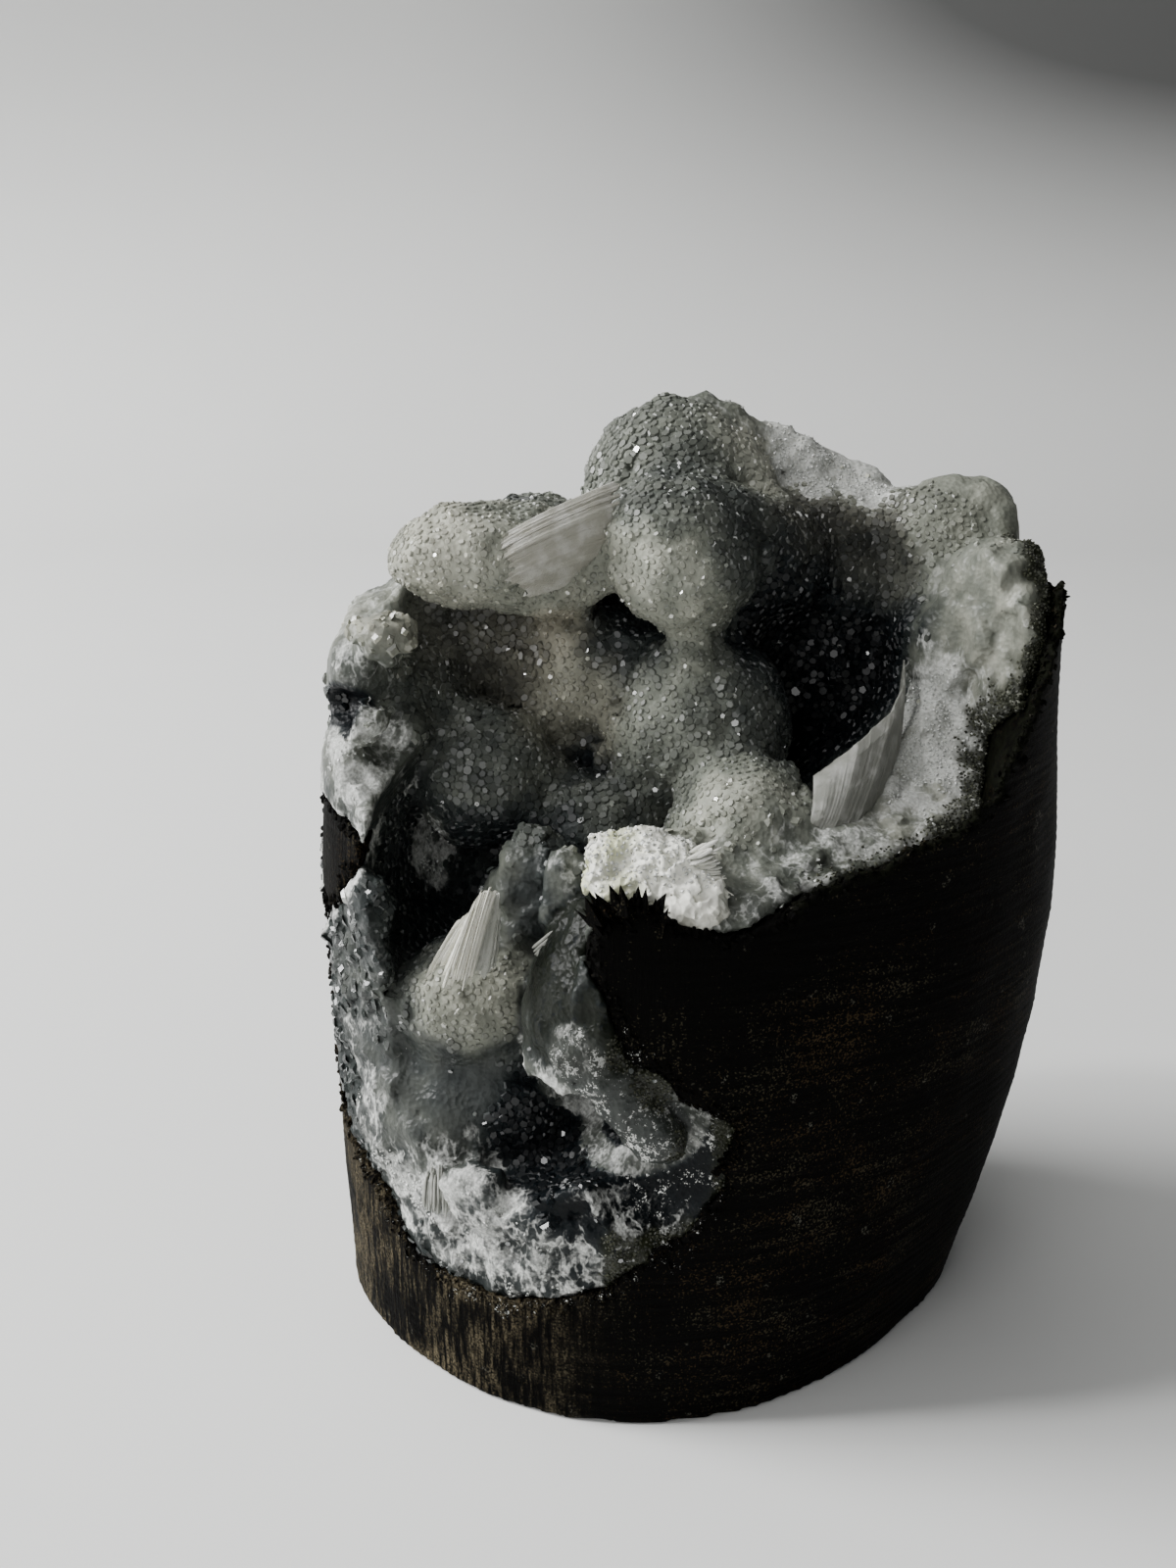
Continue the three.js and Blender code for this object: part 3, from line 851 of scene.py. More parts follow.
class Shade(Tree):
    """A material under construction."""

    def __init__(self, name: str) -> None:
        """Makes an empty material.

        Args:
            name: The material's name.
        """
        self.material = bpy.data.materials.new(name)
        self.material.use_nodes = True
        super().__init__(self.material.node_tree)
        self.tree.nodes.clear()
        self.place = self.add("ShaderNodeTexCoord").outputs["Object"]

    def attribute(self, name: str) -> bpy.types.NodeSocket:
        """Reads a named number from the mesh."""
        return self.add("ShaderNodeAttribute", attribute_name=name).outputs["Fac"]

    def scaled(self, place: bpy.types.NodeSocket, scale: Triple) -> bpy.types.NodeSocket:
        """Stretches a place for a pattern that is longer one way."""
        return self.add("ShaderNodeMapping", {0: place, 3: scale}).outputs[0]

    def noise(
        self, per_mm: float, detail: float = 3.0, rough: float = 0.55, place: object = None
    ) -> bpy.types.NodeSocket:
        """Adds a noise pattern.

        Args:
            per_mm: How many lumps there are to a millimetre.
            detail: How many finer layers it has.
            rough: How strong those layers are.
            place: Where to read it, if not at the object's own coordinates.

        Returns:
            The socket with the noise's height.
        """
        inputs = {
            "Vector": place or self.place,
            "Scale": per_mm / MM,
            "Detail": detail,
            "Roughness": rough,
        }
        return self.add("ShaderNodeTexNoise", inputs).outputs[0]

    def cells(self, per_mm: float, feature: str = "F1", place: object = None) -> bpy.types.Node:
        """Adds a pattern of cells.

        Args:
            per_mm: How many cells there are to a millimetre.
            feature: What it measures.
            place: Where to read it, if not at the object's own coordinates.

        Returns:
            The node.
        """
        inputs = {"Vector": place or self.place, "Scale": per_mm / MM}
        return self.add("ShaderNodeTexVoronoi", inputs, feature=feature)

    def frost(self, share: bpy.types.NodeSocket) -> bpy.types.NodeSocket:
        """Turns a smooth share into soft clouds of frosting with brighter veins through them."""
        cloud = self.math("MULTIPLY_ADD", self.noise(0.22, 4, 0.65), 3.0, -1.5)
        bend = self.noise(0.5, 3, 0.55, self.scaled(self.place, (1.0, 1.0, 0.6)))
        away = self.math("ABSOLUTE", self.math("MULTIPLY_ADD", bend, 2.0, -1.0))
        veins = self.math("MULTIPLY_ADD", self.rise(away, 0.16, 0.0), 0.35, share)
        soft = self.rise(self.math("ADD", veins, cloud), 0.35, 1.1)
        soft = self.math("MULTIPLY", soft, self.rise(share, 0.04, 0.28))
        fine = self.math("MULTIPLY_ADD", self.rise(self.noise(2.6, 3, 0.6), 0.35, 0.65), 0.5, 0.5)
        return self.math("MULTIPLY", soft, fine)

    def speckle(self, share: bpy.types.NodeSocket) -> bpy.types.NodeSocket:
        """Turns a smooth share into clumps that break up into grains at their edges."""
        total = self.math("MULTIPLY_ADD", self.noise(0.30, 3, 0.6), 1.1, share)
        total = self.math("MULTIPLY_ADD", self.noise(1.2, 2, 0.5), 0.6, total)
        total = self.math("MULTIPLY_ADD", self.noise(4.5, 2, 0.5), 1.0, total)
        return self.rise(total, 1.80, 1.98)

    def ramp(self, value: bpy.types.NodeSocket, *stops: tuple[float, tuple]) -> bpy.types.NodeSocket:
        """Turns a number into a colour.

        Args:
            value: The number's socket.
            stops: A place from 0 to 1 and its colour, in order.

        Returns:
            The socket with the colour.
        """
        node = self.add("ShaderNodeValToRGB", {0: value})
        elements = node.color_ramp.elements
        while len(elements) < len(stops):
            elements.new(1.0)
        for element, (spot, colour) in zip(elements, stops):
            element.position = spot
            element.color = (*colour, 1.0)
        return node.outputs[0]

    def rise(self, value: bpy.types.NodeSocket, low: float, high: float) -> bpy.types.NodeSocket:
        """Turns a number into 0 below low and 1 above high, smoothly between."""
        inputs = {0: value, 1: low, 2: high}
        node = self.add("ShaderNodeMapRange", inputs, interpolation_type="SMOOTHSTEP")
        return node.outputs[0]

    def mix(self, share: object, first: object, second: object, blend: str = "MIX") -> object:
        """Mixes two colours.

        Args:
            share: How much of the second there is: a number or a socket.
            first: A colour or a socket.
            second: A colour or a socket.
            blend: How they mix.

        Returns:
            The socket with the colour.
        """
        inputs = {0: share}
        for key, colour in ((6, first), (7, second)):
            inputs[key] = colour if isinstance(colour, bpy.types.NodeSocket) else (*colour, 1.0)
        node = self.add("ShaderNodeMix", inputs, data_type="RGBA", blend_type=blend)
        return node.outputs[2]

    def bump(self, height: object, depth: float, strength: float = 1.0, base: object = None) -> object:
        """Adds relief that is too fine for the mesh.

        Args:
            height: The socket with the height.
            depth: The height's full size, in metres.
            strength: How strongly it shows.
            base: Another bump's socket to build on.

        Returns:
            The socket with the normal.
        """
        inputs = {"Height": height, "Distance": depth, "Strength": strength}
        if base is not None:
            inputs["Normal"] = base
        return self.add("ShaderNodeBump", inputs).outputs[0]

    def finish(self, **inputs: object) -> bpy.types.Material:
        """Ends the material in a Principled shader.

        Args:
            inputs: The shader's inputs, with an underscore for each space.

        Returns:
            The material.
        """
        named = {key.replace("_", " "): value for key, value in inputs.items()}
        shader = self.add("ShaderNodeBsdfPrincipled", named)
        self.add("ShaderNodeOutputMaterial", {0: shader.outputs[0]})
        return self.material


# ---- Finishes ---------------------------------------------------------------------------------


@dataclass(frozen=True)
class BasaltFinish:
    """Sawn basalt: nearly black, with rows of tiny brown and grey specks, fine ridges, and a painted brownish light
    over the lower left of the front.
    """

    dark: Triple = (0.0010, 0.0009, 0.0007)
    brown: Triple = (0.030, 0.0205, 0.0105)
    grey: Triple = (0.034, 0.030, 0.019)
    speck: Triple = (0.06, 0.058, 0.046)
    lit: Triple = (0.115, 0.096, 0.060)
    moss: Triple = (0.004, 0.0045, 0.0024)
    frost: Triple = (0.55, 0.56, 0.53)

    def material(self) -> bpy.types.Material:
        """Builds the material."""
        s = Shade("basalt")
        upright = s.noise(1.6, 3, 0.6, s.scaled(s.place, (1.0, 1.0, 0.12)))
        level = s.noise(0.8, 3, 0.6, s.scaled(s.place, (0.12, 0.12, 1.0)))
        streak = s.add("ShaderNodeMix", {0: s.attribute("sawn"), 2: upright, 3: level}).outputs[0]
        patches = s.noise(0.07, 3, 0.6)
        grains = s.noise(3.2, 2, 0.5)
        rows = s.math("MULTIPLY_ADD", streak, 0.55, s.math("MULTIPLY", patches, 0.5))
        rows = s.math("MULTIPLY_ADD", s.attribute("stain"), 0.09, rows)
        share = s.rise(s.math("MULTIPLY_ADD", grains, 1.1, rows), 1.16, 1.36)
        hue = s.math("SUBTRACT", s.rise(s.noise(0.12, 2), 0.42, 0.6), s.attribute("stain"))
        colour = s.mix(share, self.dark, s.mix(hue, self.brown, self.grey))
        # painted light: the lower left of the front is lit brownish, following the streaks and grains
        painted_lit_low_left = s.math("MULTIPLY", s.attribute("painted_lit_low_left"), s.rise(s.math("ADD", streak, patches), 0.85, 1.25))
        colour = s.mix(s.math("MULTIPLY", painted_lit_low_left, s.rise(grains, 0.3, 0.62)), colour, self.lit)
        spots = s.math("MULTIPLY", s.rise(s.noise(0.30, 2), 0.66, 0.73), s.rise(grains, 0.48, 0.62))
        colour = s.mix(spots, colour, self.speck)
        green = s.math("MULTIPLY", s.attribute("moss"), s.rise(s.noise(0.9, 3), 0.35, 0.6))
        colour = s.mix(green, colour, self.moss)
        colour = s.mix(s.speckle(s.attribute("white")), colour, self.frost)
        normal = s.bump(streak, 0.30 * MM, 0.8)
        normal = s.bump(s.noise(2.2, 3, 0.7), 0.14 * MM, 0.8, normal)
        rough = s.math("MULTIPLY_ADD", grains, 0.25, 0.55)
        return s.finish(Base_Color=colour, Roughness=rough, Specular_IOR_Level=0.03, Normal=normal)


@dataclass(frozen=True)
class ChalcedonyFinish:
    """The stone's tones, shared by the crust and by the grains that grow on it."""

    black: Triple = (0.0022, 0.0034, 0.0044)
    slate: Triple = (0.011, 0.0145, 0.0165)
    grey: Triple = (0.043, 0.0495, 0.0465)
    pale: Triple = (0.20, 0.21, 0.175)
    olive: Triple = (0.46, 0.46, 0.385)
    sand: Triple = (0.33, 0.25, 0.16)
    white: Triple = (0.78, 0.79, 0.755)

    def tone(self, s: Shade) -> bpy.types.NodeSocket:
        """Gives the colour of the stone's light and warmth, with painted light and shade carried in the light.

        Args:
            s: The material under construction.

        Returns:
            The socket with the colour.
        """
        light = s.attribute("light")
        # painted light and shade: the ramp turns lit patches pale and olive and shaded recesses black, over the stone's
        # own tone
        stops = (
            (0.0, self.black), (0.17, self.slate), (0.35, self.grey), (0.7, self.pale), (1.0, self.olive)
        )
        colour = s.ramp(light, *stops)
        warm = s.math("MULTIPLY", s.attribute("warm"), s.rise(light, 0.1, 0.5))
        return s.mix(s.math("MULTIPLY", warm, 0.7), colour, self.sand)

    def crust(self) -> bpy.types.Material:
        """Builds the crust's material: dull between the grains, glassy and streaked where broken."""
        s = Shade("chalcedony_crust")
        tone = self.tone(s)
        broken = s.attribute("broken")
        bed = s.mix(1.0, tone, (0.85, 0.86, 0.86), "MULTIPLY")
        veins = s.noise(0.5, 4, 0.6, s.scaled(s.place, (1.0, 1.0, 0.4)))
        face = s.mix(s.rise(veins, 0.35, 0.7), s.mix(1.0, tone, (0.62, 0.64, 0.64), "MULTIPLY"), tone)
        colour = s.mix(broken, bed, face)
        frost = s.math("MAXIMUM", s.frost(s.attribute("white")), s.speckle(s.attribute("dust")))
        colour = s.mix(frost, colour, self.white)
        green = s.math("MULTIPLY", s.attribute("moss"), s.rise(s.noise(1.1, 3), 0.26, 0.46))
        colour = s.mix(s.math("MULTIPLY", green, 0.95), colour, (0.012, 0.0135, 0.006))
        normal = s.bump(s.cells(1.3).outputs[0], 0.20 * MM, 0.7)
        normal = s.bump(s.noise(2.2, 3, 0.6), 0.12 * MM, 0.5, normal)
        rough = s.math("MULTIPLY_ADD", frost, 0.3, 0.36)
        clear = s.rise(s.attribute("light"), 0.12, 0.42)
        return s.finish(
            Base_Color=colour,
            Roughness=rough,
            IOR=1.54,
            Specular_IOR_Level=0.10,
            Normal=normal,
            Transmission_Weight=s.math("MULTIPLY", broken, s.math("MULTIPLY", clear, 0.30)),
        )

    def chips(self) -> bpy.types.Material:
        """Builds the material of the broken quartz along the rims."""
        s = Shade("broken_quartz")
        tone = self.tone(s)
        bright = s.mix(1.0, tone, (1.7, 1.7, 1.7), "MULTIPLY")
        colour = s.mix(s.attribute("own"), tone, bright)
        colour = s.mix(s.speckle(s.attribute("white")), colour, self.white)
        return s.finish(
            Base_Color=colour, Roughness=0.16, IOR=1.54, Specular_IOR_Level=0.4, Transmission_Weight=0.45
        )

    def druse(self) -> bpy.types.Material:
        """Builds the grains' material: glassy, each grain a little different, with painted shade darkening the foot in
        the pale patches and a paler foot in the dark ones.
        """
        s = Shade("druse")
        tone = self.tone(s)
        own = s.attribute("own")
        lively = s.mix(s.math("MULTIPLY", own, 0.5), tone, s.mix(1.0, tone, (1.4, 1.4, 1.4), "MULTIPLY"))
        # painted shade: in the pale patches each grain's foot is darker, the shade between the grains
        dark = s.mix(1.0, tone, (0.70, 0.72, 0.73), "MULTIPLY")
        rim = s.mix(1.0, tone, (1.9, 1.9, 1.8), "MULTIPLY")
        pale = s.rise(s.attribute("light"), 0.25, 0.5)
        foot = s.mix(pale, rim, dark)
        crown = s.mix(pale, dark, lively)
        colour = s.mix(s.rise(s.attribute("tip"), 0.2, 0.9), foot, crown)
        clear = s.rise(own, 0.86, 0.90)
        rough = s.math("MULTIPLY_ADD", clear, -0.27, 0.32)
        return s.finish(
            Base_Color=colour, Roughness=rough, IOR=1.54, Specular_IOR_Level=0.3, Transmission_Weight=0.35
        )

    def glint(self) -> bpy.types.Material:
        """Builds the material of the few facets that flash."""
        s = Shade("glint")
        tone = s.mix(1.0, self.tone(s), (1.5, 1.5, 1.5), "MULTIPLY")
        return s.finish(Base_Color=tone, Roughness=0.05, IOR=2.4, Specular_IOR_Level=0.6)


@dataclass(frozen=True)
class SugarFinish:
    """White sugary quartz on the broken rims, with painted shade at each grain's foot."""

    colour: Triple = (0.80, 0.81, 0.78)

    def material(self) -> bpy.types.Material:
        """Builds the material."""
        s = Shade("white_spray")
        tint = s.mix(s.noise(0.3, 3), self.colour, (0.62, 0.64, 0.60))
        # painted shade: each grain is half as bright at its foot as at its tip
        shade = s.mix(s.rise(s.attribute("tip"), 0.0, 0.7), (0.5, 0.5, 0.5), (1.0, 1.0, 1.0))
        colour = s.mix(1.0, tint, shade, "MULTIPLY")
        return s.finish(Base_Color=colour, Roughness=0.3, IOR=1.54, Transmission_Weight=0.15)


@dataclass(frozen=True)
class MossFinish:
    """Olive green grains along the crust's right edge."""

    dark: Triple = (0.008, 0.009, 0.0045)
    light: Triple = (0.040, 0.043, 0.022)

    def material(self) -> bpy.types.Material:
        """Builds the material."""
        s = Shade("green_grains")
        colour = s.mix(s.rise(s.noise(0.8, 3), 0.3, 0.7), self.dark, self.light)
        return s.finish(Base_Color=colour, Roughness=0.6, Normal=s.bump(s.noise(3, 2), 0.1 * MM))


@dataclass(frozen=True)
class StilbiteFinish:
    """Pearly stilbite with fine lines along each lath.

    Attributes:
        name: The material's name.
        pale: The colour of most laths.
        tinted: The colour of some laths, and of the lines.
        clear: How much light goes through.
    """

    name: str
    pale: Triple
    tinted: Triple
    clear: float

    def material(self) -> bpy.types.Material:
        """Builds the material."""
        s = Shade(self.name)
        own = s.attribute("own")
        across = s.add(
            "ShaderNodeCombineXYZ", {0: s.attribute("across"), 1: s.attribute("along"), 2: own}
        ).outputs[0]
        lines = s.noise(2.2, 3, 0.6, s.scaled(across, (1.0, 0.07, 0.001)))
        share = s.math("MULTIPLY", s.rise(s.math("ADD", s.math("MULTIPLY", own, 0.6), lines), 0.5, 1.1), 0.8)
        colour = s.mix(share, self.pale, self.tinted)
        frost = s.rise(s.noise(0.5, 3), 0.42, 0.7)
        colour = s.mix(s.math("MULTIPLY", frost, 0.35), colour, (0.92, 0.92, 0.88))
        return s.finish(
            Base_Color=colour,
            Roughness=0.28,
            IOR=1.5,
            Transmission_Weight=self.clear,
            Normal=s.bump(lines, 0.12 * MM, 0.7),
        )


CREAM = StilbiteFinish("stilbite_cream", (0.92, 0.91, 0.82), (0.76, 0.75, 0.63), 0.06)
PEARL = StilbiteFinish("stilbite_pearl", (0.48, 0.47, 0.40), (0.37, 0.355, 0.295), 0.08)
GLASSY = StilbiteFinish("stilbite_glassy", (0.55, 0.56, 0.50), (0.38, 0.39, 0.34), 0.30)
SHEER = StilbiteFinish("stilbite_sheer", (0.38, 0.385, 0.34), (0.27, 0.275, 0.24), 0.30)
CLOUDY = StilbiteFinish("stilbite_cloudy", (0.50, 0.51, 0.46), (0.36, 0.37, 0.33), 0.12)
FIBROUS = StilbiteFinish("stilbite_fibrous", (0.86, 0.86, 0.80), (0.70, 0.70, 0.60), 0.10)


@dataclass(frozen=True)
class LumpFinish:
    """The cream mass on the lip, tinted yellow green to its left, with tiny dark specks."""

    cream: Triple = (0.80, 0.80, 0.72)
    tinted: Triple = (0.58, 0.60, 0.36)
    clear: Triple = (0.42, 0.41, 0.34)

    def material(self) -> bpy.types.Material:
        """Builds the material."""
        s = Shade("stilbite_lump")
        side = s.rise(s.add("ShaderNodeSeparateXYZ", {0: s.place}).outputs[0], -4 * MM, -13 * MM)
        share = s.math("MULTIPLY", side, s.rise(s.noise(0.22, 3), 0.4, 0.62))
        colour = s.mix(share, self.cream, self.tinted)
        x, _, z = s.add("ShaderNodeSeparateXYZ", {0: s.place}).outputs
        low = s.math("MULTIPLY", s.rise(z, 73 * MM, 69 * MM), s.rise(x, -7 * MM, -3 * MM))
        low = s.math("MULTIPLY", low, s.rise(s.noise(0.45, 3), 0.35, 0.6))
        colour = s.mix(low, colour, self.clear)
        specks = s.rise(s.cells(0.55).outputs[0], 0.10, 0.05)
        colour = s.mix(specks, colour, (0.10, 0.09, 0.06))
        normal = s.bump(s.cells(1.1).outputs[0], 0.35 * MM, 0.8)
        return s.finish(Base_Color=colour, Roughness=0.45, IOR=1.5, Normal=normal)


@dataclass(frozen=True)
class QuartzFinish:
    """The clear quartz point."""

    def material(self) -> bpy.types.Material:
        """Builds the material."""
        s = Shade("clear_quartz")
        haze = s.rise(s.noise(0.6, 3), 0.45, 0.7)
        rough = s.math("ADD", 0.02, s.math("MULTIPLY", haze, 0.25))
        colour = s.mix(haze, (0.93, 0.96, 0.97), (0.80, 0.84, 0.84))
        return s.finish(Base_Color=colour, Roughness=rough, IOR=1.54, Transmission_Weight=1.0)


@dataclass(frozen=True)
class StageFinish:
    """The pale floor and its backdrop, with painted shade that darkens the backdrop upwards and towards the right."""

    colour: Triple = (0.80, 0.805, 0.79)
    painted_falloff: float = 0.75

    def material(self) -> bpy.types.Material:
        """Builds the material."""
        s = Shade("pale_floor")
        colour = s.mix(s.noise(0.02, 2), self.colour, tuple(0.97 * c for c in self.colour))
        x, _, z = s.add("ShaderNodeSeparateXYZ", {0: s.place}).outputs
        # painted shade: the backdrop darkens with height, more so to the right, as though the light thinned out there
        height = s.rise(z, 0.0, 0.30)
        right = s.math("MULTIPLY_ADD", s.rise(x, -0.15, 0.40), 0.9, 0.75)
        painted_falloff = s.math("MULTIPLY", s.math("MULTIPLY", height, right), self.painted_falloff)
        colour = s.mix(painted_falloff, colour, tuple(0.1 * c for c in self.colour))
        return s.finish(Base_Color=colour, Roughness=0.85)


# ---- Growths: small crystals over a skin --------------------------------------------------------


@dataclass(frozen=True)
class Habit:
    """A small crystal's shape: its sides, and its tip's width as a share of its foot's."""

    sides: int
    blunt: float


@dataclass(frozen=True)
class Growth:
    """Small crystals that stand all over part of a skin.

    Attributes:
        name: The piece's name.
        mask: The attribute that says where they grow.
        spacing: The least distance between two, in metres.
        sizes: The smallest and the largest half width, in metres.
        tall: The height, as a share of the half width.
        tilt: How far they lean, in radians.
        seed: The number that fixes their places.
        habits: Their shapes.
        scale: The attribute that their sizes follow.
    """

    name: str
    mask: str
    spacing: float
    sizes: tuple[float, float]
    tall: float
    tilt: float
    seed: int
    habits: tuple[Habit, ...] = (Habit(5, 0.30), Habit(6, 0.22), Habit(5, 0.12))
    scale: str = ""

    def crystal(self, tree: Tree, habit: Habit) -> bpy.types.NodeSocket:
        """Adds one unit crystal to the tree.

        Args:
            tree: The tree.
            habit: The crystal's shape.

        Returns:
            The socket with the crystal as an instance.
        """
        cone = tree.add(
            "GeometryNodeMeshCone",
            {
                "Vertices": habit.sides,
                "Radius Top": habit.blunt,
                "Radius Bottom": 1.0,
                "Depth": self.tall,
            },
        )
        place = tree.add("GeometryNodeInputPosition").outputs[0]
        height = tree.add("ShaderNodeSeparateXYZ", {0: place}).outputs[2]
        # tip: each crystal's height share, which the druse and spray materials use to paint shade at the foot
        share = tree.math("DIVIDE", height, self.tall)
        named = tree.add(
            "GeometryNodeStoreNamedAttribute", {"Geometry": cone.outputs["Mesh"], "Name": "tip", "Value": share}
        )
        sunk = tree.add(
            "GeometryNodeTransform",
            {"Geometry": named.outputs[0], "Translation": (0.0, 0.0, -0.3 * self.tall)},
        )
        return tree.add("GeometryNodeGeometryToInstance", {0: sunk.outputs[0]}).outputs[0]

    def group(self, material: bpy.types.Material) -> tuple[bpy.types.NodeTree, dict[str, str]]:
        """Builds the node tree.

        Args:
            material: The crystals' material.

        Returns:
            The tree, and each input's identifier by name.
        """
        group = bpy.data.node_groups.new(self.name, "GeometryNodeTree")
        face = group.interface
        face.new_socket("Skin", in_out="INPUT", socket_type="NodeSocketGeometry")
        names = {}
        for title in ("Spacing", "Smallest", "Largest", "Tilt"):
            names[title] = face.new_socket(
                title, in_out="INPUT", socket_type="NodeSocketFloat"
            ).identifier
        face.new_socket("Crystals", in_out="OUTPUT", socket_type="NodeSocketGeometry")
        tree = Tree(group)
        given = tree.add("NodeGroupInput").outputs
        mask = tree.add("GeometryNodeInputNamedAttribute", {"Name": self.mask}, data_type="FLOAT")
        spread = tree.add(
            "GeometryNodeDistributePointsOnFaces",
            {
                "Mesh": given["Skin"],
                "Distance Min": given["Spacing"],
                "Density Max": 1.0 / (0.62 * self.spacing) ** 2,
                "Density Factor": mask.outputs[0],
                "Seed": self.seed,
            },
            distribute_method="POISSON",
        )
        own = tree.add("FunctionNodeRandomValue", {"Seed": self.seed + 1})
        points = tree.add(
            "GeometryNodeStoreNamedAttribute",
            {"Geometry": spread.outputs["Points"], "Name": "own", "Value": own.outputs[1]},
        )
        low = tree.add("ShaderNodeCombineXYZ", {k: given["Smallest"] for k in range(3)}).outputs[0]
        high = tree.add("ShaderNodeCombineXYZ", {k: given["Largest"] for k in range(3)}).outputs[0]
        size = tree.add(
            "FunctionNodeRandomValue", {0: low, 1: high, "Seed": self.seed + 2}, data_type="FLOAT_VECTOR"
        )
        grown = size.outputs[0]
        if self.scale:
            share = tree.add("GeometryNodeInputNamedAttribute", {"Name": self.scale}, data_type="FLOAT")
            inputs = {0: grown, "Scale": share.outputs[0]}
            grown = tree.add("ShaderNodeVectorMath", inputs, operation="SCALE").outputs[0]
        lean = tree.math("MULTIPLY", given["Tilt"], -1.0)
        least = tree.add("ShaderNodeCombineXYZ", {0: lean, 1: lean, 2: -3.14}).outputs[0]
        most = tree.add("ShaderNodeCombineXYZ", {0: given["Tilt"], 1: given["Tilt"], 2: 3.14}).outputs[0]
        turn = tree.add(
            "FunctionNodeRandomValue", {0: least, 1: most, "Seed": self.seed + 3}, data_type="FLOAT_VECTOR"
        )
        turned = tree.add("FunctionNodeEulerToRotation", {0: turn.outputs[0]})
        facing = tree.add(
            "FunctionNodeRotateRotation",
            {0: spread.outputs["Rotation"], 1: turned.outputs[0]},
            rotation_space="LOCAL",
        )
        kinds = tree.add("GeometryNodeJoinGeometry")
        for habit in self.habits:
            group.links.new(self.crystal(tree, habit), kinds.inputs[0])
        placed = tree.add(
            "GeometryNodeInstanceOnPoints",
            {
                "Points": points.outputs[0],
                "Instance": kinds.outputs[0],
                "Pick Instance": True,
                "Rotation": facing.outputs[0],
                "Scale": grown,
            },
        )
        real = tree.add("GeometryNodeRealizeInstances", {0: placed.outputs[0]})
        flat = tree.add("GeometryNodeSetShadeSmooth", {0: real.outputs[0], "Shade Smooth": False})
        dressed = tree.add("GeometryNodeSetMaterial", {0: flat.outputs[0], "Material": material})
        tree.add("NodeGroupOutput", {0: dressed.outputs[0]})
        return group, names

    def grow(self, skin: bpy.types.Object, material: bpy.types.Material) -> bpy.types.Object:
        """Grows the crystals over a skin and keeps them as a plain mesh.

        Args:
            skin: The object that they stand on.
            material: Their material.

        Returns:
            The crystals' object.
        """
        host = linked(bpy.data.objects.new(self.name + "_host", skin.data.copy()))
        group, names = self.group(material)
        modifier = host.modifiers.new("growth", "NODES")
        modifier.node_group = group
        modifier[names["Spacing"]] = self.spacing
        modifier[names["Smallest"]] = self.sizes[0]
        modifier[names["Largest"]] = self.sizes[1]
        modifier[names["Tilt"]] = self.tilt
        evaluated = host.evaluated_get(bpy.context.evaluated_depsgraph_get())
        mesh = bpy.data.meshes.new_from_object(evaluated)
        mesh.name = self.name
        host.modifiers.clear()
        spare = host.data
        bpy.data.objects.remove(host)
        bpy.data.meshes.remove(spare)
        return linked(bpy.data.objects.new(self.name, mesh))


def placed(piece: bpy.types.Object, slot: str, *nodes: str) -> bpy.types.Object:
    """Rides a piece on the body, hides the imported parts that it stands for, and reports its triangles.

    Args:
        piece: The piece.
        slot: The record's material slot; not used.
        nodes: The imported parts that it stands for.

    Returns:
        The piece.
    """
    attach(piece, "root")
    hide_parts(*nodes)
    triangles = sum(len(face.vertices) - 2 for face in piece.data.polygons)
    LOG.info("%s: %d triangles", piece.name, triangles)
    return piece


def along_line(points: tuple[Triple, ...], share: float) -> Vector:
    """Reads a line through points that stand at equal shares of it, in millimetres."""
    spot = min(max(share, 0.0), 1.0) * (len(points) - 1)
    start = min(int(spot), len(points) - 2)
    return Vector(points[start]).lerp(Vector(points[start + 1]), spot - start)


# ---- The stone's own pieces ---------------------------------------------------------------------


